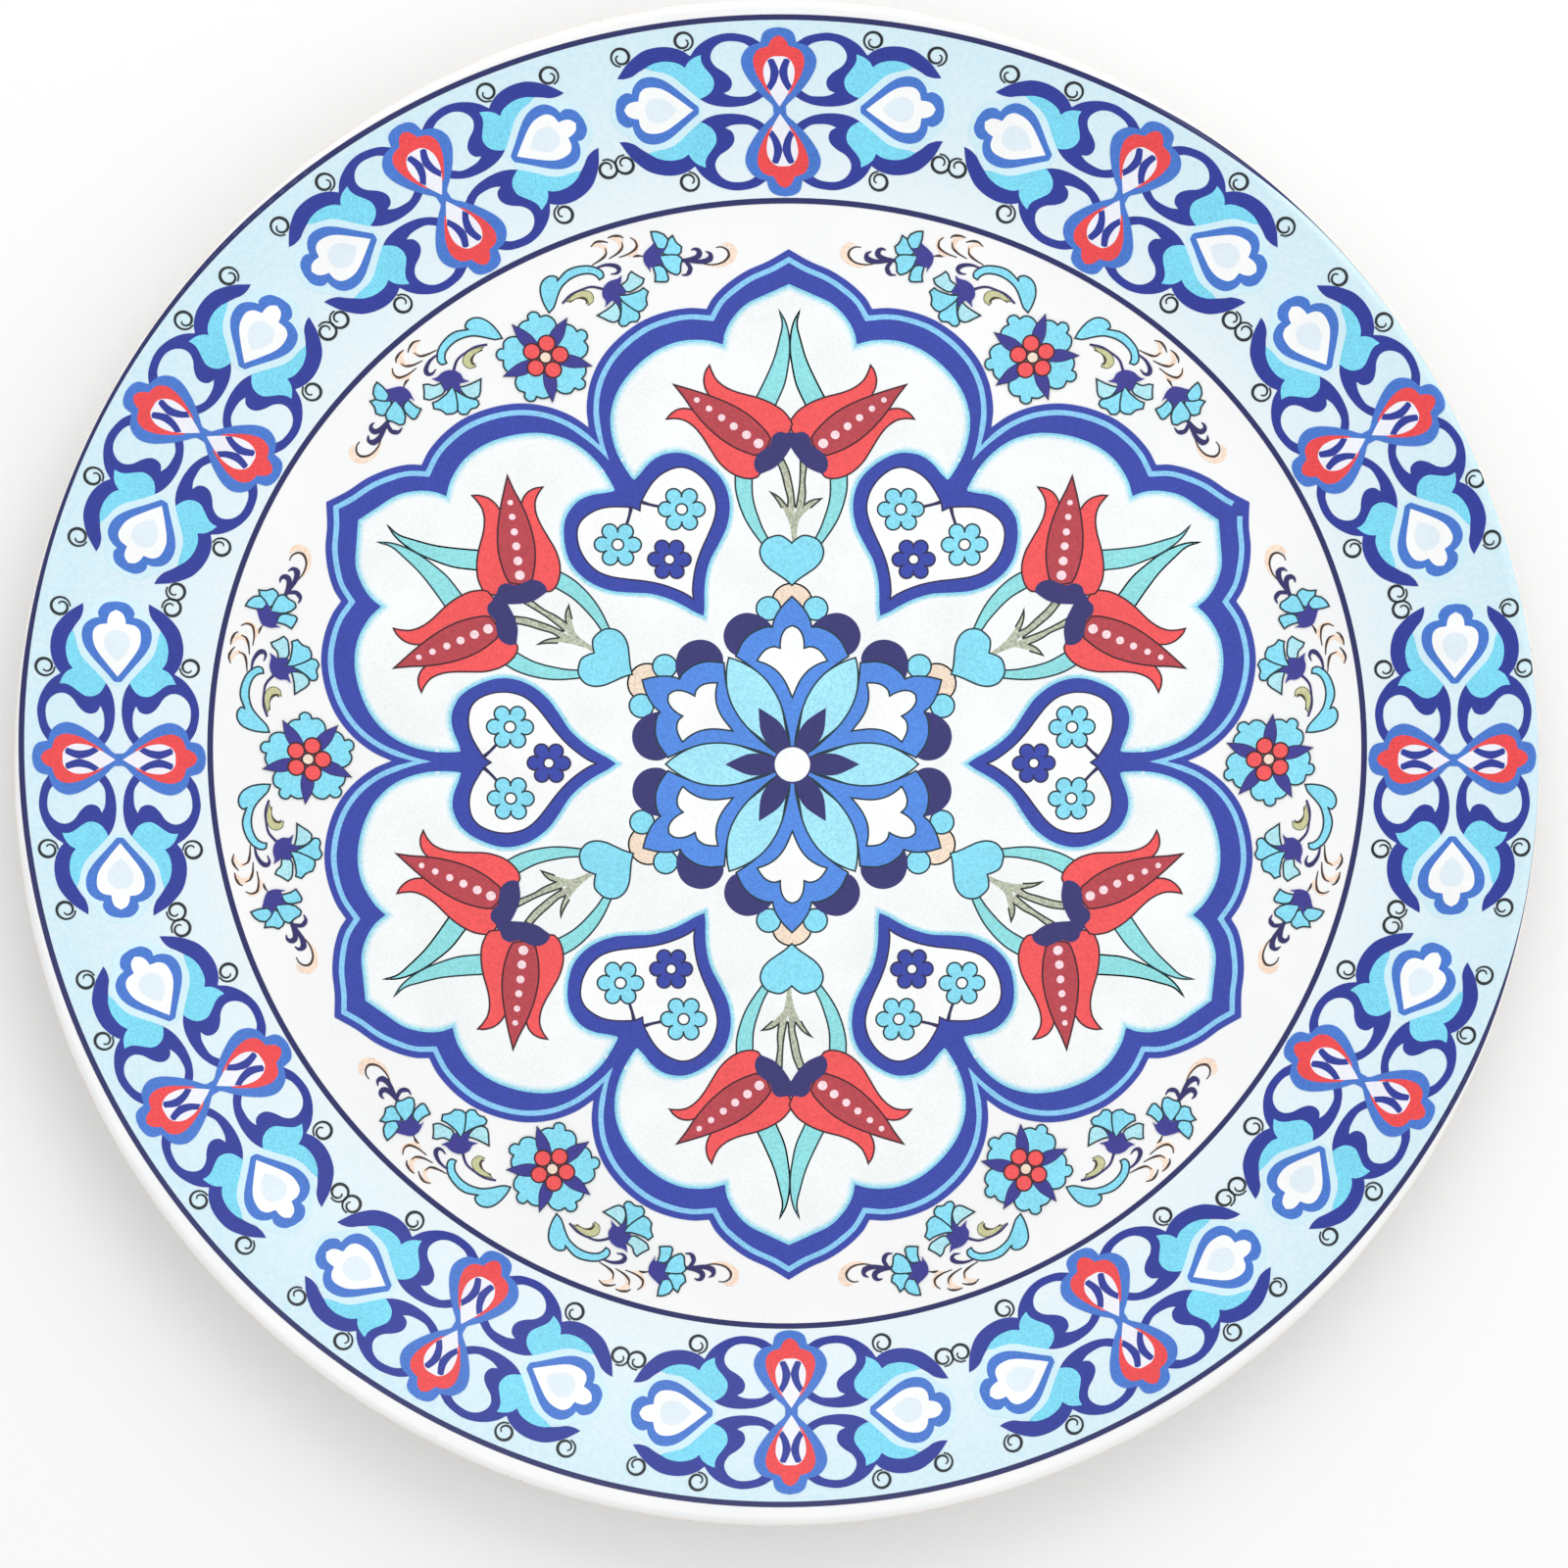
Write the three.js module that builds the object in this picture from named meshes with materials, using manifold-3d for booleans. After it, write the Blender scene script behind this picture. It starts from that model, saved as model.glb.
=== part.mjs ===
// A shallow glazed ceramic plate with a painted face, built in the order it is made:
// the clay body and its foot ring, the glaze coats, then the colours laid on the glaze.
// Millimetres, +Z up, the foot stands on z = 0 and the plate's axis is the Z axis.
import * as THREE from "three";
import { mergeVertices } from "three/addons/utils/BufferGeometryUtils.js";
import Module from "manifold-3d";

const wasm = await Module();
wasm.setup();

// Driving dimensions of the clay
const PLATE_RADIUS = 150;
const WELL_RADIUS = 104; // the flat middle of the face
const COVE_RADIUS = 60; // the hollow curve where the rim rises from the well
const RIM_ANGLE = THREE.MathUtils.degToRad(14);
const LIP_START = 148.2; // the rim is straight up to here, then turns over the lip
const LIP_DROP = 0.5; // how far the face has fallen where the glaze stops
const GLAZE_EDGE = 149.2;
const FOOT_HEIGHT = 5;
const WALL = 5;
const FOOT_INNER = 78;
const FOOT_OUTER = 86;
const FOOT_CHAMFER = 1;
const UNDERSIDE_FLAT = 100; // the underside is flat out to here, then follows the rim
const UNDERSIDE_BEND = 112;
const UNDERSIDE_RISE = 1.1;
const LIP_UNDERCUT = 146.5;
const LIP_WALL = 4.6;

// Coats and colours
const GAP = 0.02; // clearance between one fired layer and the next
const GLAZE = 0.4;
const COLOUR = 0.1;
const TURNS = 72; // segments round the plate

// How the printed design lies on the plate: a little to one side, wider than high, slightly bowed
const PRINT_SHIFT = [3.0, -0.4];
const PRINT_STRETCH = [1.016, 0.991];
const PRINT_BOW = 1e-4;

// The design, in its own flat frame
const OUTER_LINE = 146.8;
const INNER_LINE = 111;
const LINE_WIDTH = 1.1;
const MOTIF_RADIUS = 129.2;
const ROSE_RADIUS = 92.6;
const LOBES = 6;
const MOTIFS = 12;

const CLAY_TOP = FOOT_HEIGHT + WALL;
const coveEnd = WELL_RADIUS + COVE_RADIUS * Math.sin(RIM_ANGLE);
const coveRise = COVE_RADIUS * (1 - Math.cos(RIM_ANGLE));
const lipStartZ = CLAY_TOP + coveRise + (LIP_START - coveEnd) * Math.tan(RIM_ANGLE);

// The face of the clay as stations of radius and height, shared by every coat above it
function faceStations() {
  const stations = [[0, CLAY_TOP], [WELL_RADIUS, CLAY_TOP]];
  const coveSteps = 3;
  for (let i = 1; i <= coveSteps; i++) {
    const a = (RIM_ANGLE * i) / coveSteps;
    stations.push([WELL_RADIUS + COVE_RADIUS * Math.sin(a), CLAY_TOP + COVE_RADIUS * (1 - Math.cos(a))]);
  }
  stations.push([LIP_START, lipStartZ]);
  stations.push([GLAZE_EDGE, lipStartZ - LIP_DROP]);
  return stations;
}
const FACE = faceStations();

function faceHeight(r) {
  for (let i = 1; i < FACE.length; i++) {
    const [r0, z0] = FACE[i - 1];
    const [r1, z1] = FACE[i];
    if (r <= r1) return z0 + ((z1 - z0) * (r - r0)) / (r1 - r0);
  }
  return FACE[FACE.length - 1][1];
}

// A body of revolution from [radius, height] points that close on the axis or on themselves
function turned(profile) {
  const points = profile.map(([r, z]) => new THREE.Vector2(r, z));
  const geometry = new THREE.LatheGeometry(points, TURNS);
  geometry.rotateX(Math.PI / 2);
  return geometry;
}

// A coat that lies on the face between two radii and between two heights above the clay
function coat(inner, outer, low, high) {
  const radii = FACE.map(([r]) => r).filter((r) => r > inner && r < outer);
  const along = [inner, ...radii, outer];
  const under = along.map((r) => [r, faceHeight(r) + low]);
  const over = along.map((r) => [r, faceHeight(r) + high]).reverse();
  const ring = [...under, ...over];
  if (inner > 0) ring.push(under[0]);
  return turned(ring);
}

function toSolid(geometry) {
  const loose = geometry.index ? geometry.toNonIndexed() : geometry.clone();
  loose.deleteAttribute("normal");
  loose.deleteAttribute("uv");
  const merged = mergeVertices(loose, 1e-4);
  return new wasm.Manifold(
    new wasm.Mesh({
      numProp: 3,
      vertProperties: merged.attributes.position.array,
      triVerts: new Uint32Array(merged.index.array),
    }),
  );
}

function toGeometry(solid) {
  const mesh = solid.getMesh();
  const geometry = new THREE.BufferGeometry();
  geometry.setAttribute("position", new THREE.BufferAttribute(mesh.vertProperties, 3));
  geometry.setIndex(new THREE.BufferAttribute(mesh.triVerts, 1));
  const flat = geometry.toNonIndexed();
  flat.computeVertexNormals();
  return flat;
}

// Where a point of the flat design falls on the plate
function onPlate(x, y) {
  const px = PRINT_SHIFT[0] + PRINT_STRETCH[0] * x + PRINT_BOW * (1.8 * x * y - 0.9 * x * x - 0.7 * y * y);
  const py = PRINT_SHIFT[1] + PRINT_STRETCH[1] * y + PRINT_BOW * 1.2 * x * x;
  return [px, py];
}

// An upright prism over an outline of the design, turned to its place and laid on the plate
function prism(outline, turn, holes = []) {
  const shape = new THREE.Shape(outline.map(([x, y]) => new THREE.Vector2(x, y)));
  for (const hole of holes) shape.holes.push(new THREE.Path(hole.map(([x, y]) => new THREE.Vector2(x, y))));
  const geometry = new THREE.ExtrudeGeometry(shape, { depth: 40, bevelEnabled: false });
  geometry.rotateZ(turn);
  const position = geometry.attributes.position;
  for (let i = 0; i < position.count; i++) {
    const [x, y] = onPlate(position.getX(i), position.getY(i));
    position.setXY(i, x, y);
  }
  return toSolid(geometry);
}

// The colours: each is the part of a thin coat that an outline of the design cuts out
const groundLow = GLAZE + 2 * GAP;
const groundHigh = groundLow + COLOUR;
const colourLow = groundHigh + GAP;
const colourHigh = colourLow + COLOUR;
const colourCoat = toSolid(coat(0, GLAZE_EDGE, colourLow, colourHigh));
const groundCoat = toSolid(coat(0, GLAZE_EDGE, groundLow, groundHigh));
const wideCoat = toSolid(coat(0, GLAZE_EDGE, groundLow, colourHigh));

function painted(layer, outline, turn = 0, holes = []) {
  return toGeometry(layer.intersect(prism(outline, turn, holes)));
}

function circle(radius, steps) {
  const points = [];
  for (let i = 0; i < steps; i++) {
    const a = (2 * Math.PI * i) / steps;
    points.push([radius * Math.cos(a), radius * Math.sin(a)]);
  }
  return points;
}

// Mirrors a half outline, given from the top of its axis to the bottom, across x = 0
function mirrored(half) {
  const other = half.filter(([x]) => x !== 0).map(([x, y]) => [-x, y]).reverse();
  return [...half, ...other];
}

// A smooth closed outline through a few points
function smooth(points, steps) {
  const curve = new THREE.CatmullRomCurve3(points.map(([x, y]) => new THREE.Vector3(x, y, 0)), true);
  return curve.getPoints(steps).slice(0, -1).map((p) => [p.x, p.y]);
}

function turnedPoint([x, y], a) {
  return [x * Math.cos(a) - y * Math.sin(a), x * Math.sin(a) + y * Math.cos(a)];
}

// One lobe of the medallion, from its tip clockwise to the cusp it shares with the next lobe
const LOBE_OUTER = [[0, 102.4], [8.1, 98.1], [14.4, 92.8], [15.9, 90.5], [23.8, 89.7], [32.9, 84.4], [38.6, 75.8]];
const LOBE_OUTER_CUSP = [38.6, 66.8];
const LOBE_INNER = [[0, 95.5], [8.1, 91.6], [12.3, 85.4], [12.8, 83.2], [20.8, 83.8], [29.8, 78.6], [34.1, 70.5]];
const LOBE_INNER_CUSP = [33.1, 57.3];

function medallionOutline(half, cusp) {
  const left = half.slice(1).map(([x, y]) => [-x, y]).reverse();
  const outline = [];
  for (let lobe = 0; lobe < LOBES; lobe++) {
    const a = (-2 * Math.PI * lobe) / LOBES;
    for (const p of [...left, ...half, cusp]) outline.push(turnedPoint(p, a));
  }
  return outline.reverse(); // anticlockwise, as a shape with a hole has to be
}

// A heart pointing at the middle, drawn on the +Y axis
function heartOutline(tip, width, top, notch) {
  const half = [[0, notch], [0.3 * width, top], [0.8 * width, top - 0.12 * width], [width, top - 0.65 * width],
    [0.72 * width, tip + 0.72 * width], [0.25 * width, tip + 0.25 * width], [0, tip]];
  return mirrored(half);
}

// Two tulips with their leaves and stem, from the leaf tips down to the small heart at the foot
const TULIPS = [[0, 84], [1.8, 89], [6, 77], [12, 75.5], [23.5, 74.5], [21.5, 70], [15, 61], [9, 55], [10, 50],
  [4.5, 44.5], [4.5, 41], [0, 36]];

// A flowering branch: a thin arched garland that passes behind the five-petalled rose
function sprigOutline() {
  const reach = THREE.MathUtils.degToRad(23.5);
  const low = 97.5;
  const high = 104;
  const steps = 10;
  const outline = [];
  for (let i = 0; i <= steps; i++) {
    const a = Math.PI / 2 + reach - (2 * reach * i) / steps;
    outline.push([high * Math.cos(a), high * Math.sin(a)]);
  }
  for (const t of [1, 0.6, 0.3]) {
    const a = Math.PI / 2 - reach * t;
    outline.push([low * Math.cos(a), low * Math.sin(a)]);
  }
  const rose = 8.2;
  for (let i = 1; i < 8; i++) {
    const a = (-Math.PI * i) / 8;
    outline.push([rose * Math.cos(a), ROSE_RADIUS + rose * Math.sin(a)]);
  }
  for (const t of [0.3, 0.6, 1]) {
    const a = Math.PI / 2 + reach * t;
    outline.push([low * Math.cos(a), low * Math.sin(a)]);
  }
  return outline;
}

// One rim motif: crossed bulbs in the middle and a bud on each side
const RIM_MOTIF = [[0, 15.9], [6.5, 12.5], [11, 13.5], [19, 12], [27, 13.5], [30, 6], [31, 0], [30, -6],
  [25, -12], [17, -13], [10, -12], [6.5, -12], [0, -15.9]].map(([x, y]) => [x * (1 + y / MOTIF_RADIUS), y]);

function rosetteOutline() {
  const outline = [];
  const steps = 48;
  for (let i = 0; i < steps; i++) {
    const a = (2 * Math.PI * i) / steps;
    const r = 31.5 + 2.5 * Math.abs(Math.sin(3 * a));
    outline.push([r * Math.cos(a), r * Math.sin(a)]);
  }
  return outline;
}

const CLAY = new THREE.MeshStandardMaterial({ color: "#efe4d6", roughness: 0.8, metalness: 0 });
const WHITE_GLAZE = new THREE.MeshStandardMaterial({ color: "#fafafa", roughness: 0.25, metalness: 0 });
const PALE_BLUE = new THREE.MeshStandardMaterial({ color: "#d8eef8", roughness: 0.3, metalness: 0 });
const WARM_WHITE = new THREE.MeshStandardMaterial({ color: "#f6f7f8", roughness: 0.3, metalness: 0 });
const NAVY = new THREE.MeshStandardMaterial({ color: "#2a3170", roughness: 0.3, metalness: 0 });
const COBALT = new THREE.MeshStandardMaterial({ color: "#3c3ca8", roughness: 0.3, metalness: 0 });
const ROYAL_BLUE = new THREE.MeshStandardMaterial({ color: "#4a80d8", roughness: 0.3, metalness: 0 });
const SKY_BLUE = new THREE.MeshStandardMaterial({ color: "#7ae0fa", roughness: 0.3, metalness: 0 });
const TULIP_RED = new THREE.MeshStandardMaterial({ color: "#fb4d50", roughness: 0.3, metalness: 0 });

const plate = new THREE.Group();

function add(name, geometry, material) {
  const mesh = new THREE.Mesh(geometry, material);
  mesh.name = name;
  plate.add(mesh);
}

// Clay: the underside runs parallel to the rim and meets the face at the rounded lip
const underside = [
  [UNDERSIDE_FLAT, FOOT_HEIGHT],
  [UNDERSIDE_BEND, FOOT_HEIGHT + UNDERSIDE_RISE],
  [LIP_UNDERCUT, lipStartZ - LIP_WALL],
];
const bodyProfile = [
  [0, FOOT_HEIGHT],
  ...underside,
  [PLATE_RADIUS - 1, lipStartZ - LIP_WALL + 1.3],
  [PLATE_RADIUS, lipStartZ - LIP_WALL / 2],
  [PLATE_RADIUS - 0.1, lipStartZ - LIP_WALL / 4],
  ...FACE.slice().reverse(),
];
add("clay_body", turned(bodyProfile), CLAY);

const footTop = FOOT_HEIGHT - GAP;
add("foot_ring", turned([
  [FOOT_INNER, FOOT_CHAMFER],
  [FOOT_INNER + FOOT_CHAMFER, 0],
  [FOOT_OUTER - FOOT_CHAMFER, 0],
  [FOOT_OUTER, FOOT_CHAMFER],
  [FOOT_OUTER, footTop],
  [FOOT_INNER, footTop],
  [FOOT_INNER, FOOT_CHAMFER],
]), CLAY);

// Glaze: one coat over the face, one inside the foot ring and one from the foot ring to the rim
add("face_glaze", coat(0, GLAZE_EDGE, GAP, GAP + GLAZE), WHITE_GLAZE);
add("base_glaze", turned([
  [0, FOOT_HEIGHT - GAP - GLAZE],
  [FOOT_INNER - GAP, FOOT_HEIGHT - GAP - GLAZE],
  [FOOT_INNER - GAP, FOOT_HEIGHT - GAP],
  [0, FOOT_HEIGHT - GAP],
]), WHITE_GLAZE);
const backLine = [[FOOT_OUTER + GAP, FOOT_HEIGHT], ...underside];
const backUnder = backLine.map(([r, z]) => [r, z - GAP - GLAZE]);
const backOver = backLine.map(([r, z]) => [r, z - GAP]).reverse();
add("back_glaze", turned([...backUnder, ...backOver, backUnder[0]]), WHITE_GLAZE);

// Grounds and banding lines
const halfLine = LINE_WIDTH / 2;
const ringSteps = TURNS;
const bandClear = 0.1;
add("rim_ground", painted(groundCoat, circle(OUTER_LINE - halfLine - bandClear, ringSteps), 0,
  [circle(INNER_LINE + halfLine + bandClear, ringSteps)]), PALE_BLUE);
add("outer_line", painted(wideCoat, circle(OUTER_LINE + halfLine, ringSteps), 0,
  [circle(OUTER_LINE - halfLine, ringSteps)]), NAVY);
add("inner_line", painted(wideCoat, circle(INNER_LINE + halfLine, ringSteps), 0,
  [circle(INNER_LINE - halfLine, ringSteps)]), NAVY);

// Medallion
const medallionOuter = medallionOutline(LOBE_OUTER, LOBE_OUTER_CUSP);
const medallionInner = medallionOutline(LOBE_INNER, LOBE_INNER_CUSP);
add("medallion_ground", painted(groundCoat, medallionOuter), WARM_WHITE);
add("medallion_band", painted(colourCoat, medallionOuter, 0, [medallionInner]), COBALT);
const heart = heartOutline(36.8, 15, 64.6, 61.5);
const sprig = sprigOutline();
const tulips = mirrored(TULIPS);
for (let i = 0; i < LOBES; i++) {
  const turn = (-2 * Math.PI * i) / LOBES;
  const between = turn - Math.PI / LOBES;
  add(`tulip_spray_${i + 1}`, painted(colourCoat, tulips, turn), TULIP_RED);
  add(`heart_cartouche_${i + 1}`, painted(colourCoat, heart, between), COBALT);
  add(`flower_sprig_${i + 1}`, painted(colourCoat, sprig, between), SKY_BLUE);
}
add("centre_rosette", painted(colourCoat, rosetteOutline()), ROYAL_BLUE);

// Rim
const rimMotif = smooth(mirrored(RIM_MOTIF), 40).map(([x, y]) => [x, y + MOTIF_RADIUS]);
for (let i = 0; i < MOTIFS; i++) {
  const turn = (-2 * Math.PI * i) / MOTIFS;
  add(`rim_motif_${i + 1}`, painted(colourCoat, rimMotif, turn), COBALT);
}

export default plate;
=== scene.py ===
import math

import bmesh
import bpy
from mathutils import Matrix, Vector


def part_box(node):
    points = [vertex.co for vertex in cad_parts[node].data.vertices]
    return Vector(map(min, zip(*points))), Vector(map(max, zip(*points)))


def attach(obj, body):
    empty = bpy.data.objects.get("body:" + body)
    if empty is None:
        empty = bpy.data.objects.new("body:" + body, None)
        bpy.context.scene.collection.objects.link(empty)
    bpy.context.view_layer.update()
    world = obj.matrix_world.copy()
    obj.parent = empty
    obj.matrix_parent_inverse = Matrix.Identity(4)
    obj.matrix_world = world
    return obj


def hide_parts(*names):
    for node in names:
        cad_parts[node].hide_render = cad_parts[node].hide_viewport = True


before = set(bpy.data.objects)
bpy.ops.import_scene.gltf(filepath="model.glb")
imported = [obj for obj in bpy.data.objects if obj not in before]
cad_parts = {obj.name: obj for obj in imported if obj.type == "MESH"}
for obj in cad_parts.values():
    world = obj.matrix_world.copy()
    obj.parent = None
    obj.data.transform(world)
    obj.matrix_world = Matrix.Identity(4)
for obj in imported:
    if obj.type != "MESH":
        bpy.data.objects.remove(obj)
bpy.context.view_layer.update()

# --- Table, daylight and camera ---
# The plate stands on a plain white table in even daylight, with one soft light beyond it
# and a weaker one beside it. It is looked at from straight above, a little off its middle.

MM = 0.001


def linear(hex_colour):
    """An sRGB hex colour as the linear RGBA that a socket takes."""
    channels = [int(hex_colour[i:i + 2], 16) / 255 for i in (1, 3, 5)]
    return [c / 12.92 if c <= 0.04045 else ((c + 0.055) / 1.055) ** 2.4 for c in channels] + [1.0]


def add_node(tree, kind, settings=None, links=None):
    """Adds a node with its properties and socket values set and its sockets linked."""
    made = tree.nodes.new(kind)
    for name, value in (settings or {}).items():
        if name in made.inputs:
            made.inputs[name].default_value = value
        else:
            setattr(made, name, value)
    for name, source in (links or {}).items():
        tree.links.new(source, made.inputs[name])
    return made


def new_material(name):
    """An empty material and its node tree."""
    material = bpy.data.materials.new(name)
    material.use_nodes = True
    material.node_tree.nodes.clear()
    return material, material.node_tree


def table_paint():
    """Matt white paint on a board: even, with no gloss that would mirror the lamps."""
    material, tree = new_material("matt_white_table")
    paint = add_node(tree, "ShaderNodeBsdfPrincipled",
                     {"Base Color": linear("#fbfbfb"), "Roughness": 0.9, "IOR": 1.45})
    add_node(tree, "ShaderNodeOutputMaterial", links={"Surface": paint.outputs["BSDF"]})
    return material


TABLE_SIDE = 6.0
table = bmesh.new()
bmesh.ops.create_grid(table, x_segments=1, y_segments=1, size=TABLE_SIDE / 2)
table_mesh = bpy.data.meshes.new("table")
table.to_mesh(table_mesh)
table.free()
table_mesh.materials.append(table_paint())
table_top = bpy.data.objects.new("table", table_mesh)
bpy.context.scene.collection.objects.link(table_top)


def soft_light(name, place, side, watts):
    """A square softbox aimed at the middle of the plate."""
    light = bpy.data.lights.new(name, "AREA")
    light.size = side
    light.energy = watts
    lamp = bpy.data.objects.new(name, light)
    lamp.location = place
    lamp.rotation_euler = (-Vector(place)).to_track_quat("-Z", "Y").to_euler()
    bpy.context.scene.collection.objects.link(lamp)


soft_light("window_light", (0.25, 0.95, 1.0), 1.2, 6.2)
soft_light("fill_light", (1.5, -0.4, 1.5), 2.0, 3.8)
daylight = bpy.data.worlds.new("daylight")
daylight.use_nodes = True
daylight.node_tree.nodes["Background"].inputs["Color"].default_value = (1.0, 1.0, 1.0, 1.0)
daylight.node_tree.nodes["Background"].inputs["Strength"].default_value = 0.8
bpy.context.scene.world = daylight
bpy.context.scene.view_settings.view_transform = "Standard"

CAMERA_HEIGHT = 4.0
CAMERA_ASIDE = (1.35 * MM, -4.24 * MM)
VIEW_WIDTH = 0.3081
camera = bpy.data.objects.new("camera", bpy.data.cameras.new("camera"))
plate_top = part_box("face_glaze")[1][2]
camera.data.lens = camera.data.sensor_width * CAMERA_HEIGHT / VIEW_WIDTH
camera.location = (*CAMERA_ASIDE, plate_top + CAMERA_HEIGHT)
bpy.context.scene.collection.objects.link(camera)
bpy.context.scene.camera = camera

# --- Clay body ---
# A shallow plate jiggered from buff-white earthenware: a flat middle, a short hollow
# curve and a straight rim, with the bare clay showing on the rounded lip.

PLATE_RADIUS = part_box("clay_body")[1][0] / MM
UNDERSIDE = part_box("clay_body")[0][2] / MM
LAYER_GAP = 0.02  # clearance between one fired layer and the next
WELL_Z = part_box("face_glaze")[0][2] / MM - LAYER_GAP
WELL_RADIUS = 104.0
COVE_RADIUS = 60.0
RIM_ANGLE = math.radians(14)
COVE_END = WELL_RADIUS + COVE_RADIUS * math.sin(RIM_ANGLE)
LIP_START = 148.2
LIP_FALL = 0.45  # how fast the face rounds off towards the lip
TURNS = 256


def face_height(radius):
    """Height of the clay's face above the table at a radius, in mm."""
    out = min(radius, COVE_END) - WELL_RADIUS
    cove = COVE_RADIUS - math.sqrt(COVE_RADIUS ** 2 - max(out, 0.0) ** 2)
    rim = max(radius - COVE_END, 0.0) * math.tan(RIM_ANGLE)
    return WELL_Z + cove + rim - LIP_FALL * max(radius - LIP_START, 0.0) ** 2


def face_line(start, end, lift):
    """Points of radius and height along the face, close together only in the hollow curve."""
    radii = [start, start + (WELL_RADIUS - start) / 2] if start < WELL_RADIUS else []
    radii += [WELL_RADIUS + (COVE_END - WELL_RADIUS) * i / 8 for i in range(9)]
    radii += [COVE_END + (end - COVE_END) * i / 3 for i in range(1, 4)]
    return [(r, face_height(r) + lift) for r in radii]


def spun(name, profile, materials, node, closed=False):
    """A body of revolution from points of radius and height; each point turns into a circle."""
    bm = bmesh.new()
    verts = [bm.verts.new((r * MM, 0.0, z * MM)) for r, z in profile]
    edges = [bm.edges.new(ends) for ends in zip(verts, verts[1:])]
    if closed:
        edges.append(bm.edges.new((verts[-1], verts[0])))
    bmesh.ops.spin(bm, geom=verts + edges, cent=(0, 0, 0), axis=(0, 0, 1), angle=2 * math.pi,
                   steps=TURNS, use_merge=True)
    bmesh.ops.remove_doubles(bm, verts=bm.verts[:], dist=1e-7)
    bmesh.ops.recalc_face_normals(bm, faces=bm.faces[:])
    return finished(bm, name, materials, node)


def finished(bm, name, materials, node):
    """Ends a piece: shading, materials, and the CAD node that it stands for."""
    crease = math.radians(32)
    for face in bm.faces:
        face.smooth = True
    for edge in bm.edges:
        edge.smooth = edge.calc_face_angle(math.pi) < crease
    mesh = bpy.data.meshes.new(name)
    bm.to_mesh(mesh)
    bm.free()
    for material in materials:
        mesh.materials.append(material)
    piece = bpy.data.objects.new(name, mesh)
    bpy.context.scene.collection.objects.link(piece)
    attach(piece, "root")
    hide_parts(node)
    return piece


def bare_clay():
    """Fired earthenware, unglazed: warm ivory, dry and matt, with fine iron specks."""
    material, tree = new_material("bare_earthenware")
    where = add_node(tree, "ShaderNodeTexCoord").outputs["Object"]
    body = add_node(tree, "ShaderNodeTexNoise", {"Scale": 1 / (6 * MM), "Detail": 4.0}, {"Vector": where})
    tone = add_node(tree, "ShaderNodeValToRGB", links={"Fac": body.outputs["Fac"]})
    tone.color_ramp.elements[0].color = linear("#f1e5d9")
    tone.color_ramp.elements[0].position = 0.35
    tone.color_ramp.elements[1].color = linear("#fbf4ec")
    tone.color_ramp.elements[1].position = 0.65
    cells = add_node(tree, "ShaderNodeTexVoronoi", {"Scale": 1 / (1.9 * MM)}, {"Vector": where})
    speck = add_node(tree, "ShaderNodeMapRange", {"From Min": 0.06, "From Max": 0.12},
                     {"Value": cells.outputs["Distance"]})
    colour = add_node(tree, "ShaderNodeMix", {"data_type": "RGBA"})
    colour.inputs[6].default_value = linear("#b79e88")
    tree.links.new(speck.outputs["Result"], colour.inputs[0])
    tree.links.new(tone.outputs["Color"], colour.inputs[7])
    pores = add_node(tree, "ShaderNodeTexNoise", {"Scale": 1 / (0.5 * MM), "Detail": 6.0}, {"Vector": where})
    dry = add_node(tree, "ShaderNodeBump", {"Strength": 0.35, "Distance": 0.1 * MM},
                   {"Height": pores.outputs["Fac"]})
    clay = add_node(tree, "ShaderNodeBsdfPrincipled", {"Roughness": 0.75, "IOR": 1.5},
                    {"Base Color": colour.outputs[2], "Normal": dry.outputs["Normal"]})
    add_node(tree, "ShaderNodeOutputMaterial", links={"Surface": clay.outputs["BSDF"]})
    return material


CLAY = bare_clay()
LIP_WALL = 4.6  # height of the lip from the underside of the rim to its face
LIP_REACH = 1.404  # how far the round upper edge of the lip turns inwards
LIP_ROUND = 1.1  # and how far it rises
lip_under = (146.5, face_height(LIP_START) - LIP_WALL)
lip_low = (PLATE_RADIUS, lip_under[1] + 2.3)
lip_high = (PLATE_RADIUS, face_height(LIP_START) - LIP_ROUND)
lip = [(149.0, lip_under[1] + 0.9), (149.75, lip_under[1] + 1.6), lip_low, lip_high]
for step in range(1, 5):
    turn = (math.pi / 2 - RIM_ANGLE) * step / 4
    lip.append((PLATE_RADIUS - LIP_REACH * (1 - math.cos(turn)), lip_high[1] + LIP_ROUND * math.sin(turn)))
underside_bend = [(100.0, UNDERSIDE), (106.0, UNDERSIDE + 0.35), (112.0, UNDERSIDE + 1.1), lip_under]
body_line = [(0.0, UNDERSIDE)] + underside_bend + lip + face_line(0.0, LIP_START, 0.0)[::-1]
spun("clay_plate", body_line, [CLAY], "clay_body")

# --- Foot ring ---
# A low ring turned from the same clay under the middle of the plate. Its flat bottom is
# wiped clean of glaze before firing, so that the plate doesn't stick to the kiln shelf.

FOOT_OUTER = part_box("foot_ring")[1][0] / MM
FOOT_WIDTH = 8.0
FOOT_INNER = FOOT_OUTER - FOOT_WIDTH
FOOT_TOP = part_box("foot_ring")[1][2] / MM
foot_edge = [(1.0, 0.0), (0.55, 0.12), (0.2, 0.4), (0.0, 1.0)]
foot_line = [(FOOT_INNER + d, z) for d, z in foot_edge[::-1]] + [(FOOT_OUTER - d, z) for d, z in foot_edge]
foot_line += [(FOOT_OUTER, FOOT_TOP), (FOOT_INNER, FOOT_TOP)]
spun("turned_foot", foot_line, [CLAY], "foot_ring", closed=True)

# --- White glaze ---
# Opaque white glaze poured over the face, inside the foot ring and over the back of the
# rim. It levels to a smooth soft gloss, with a few hairline scratches from use.

GLAZE = 0.4


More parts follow.
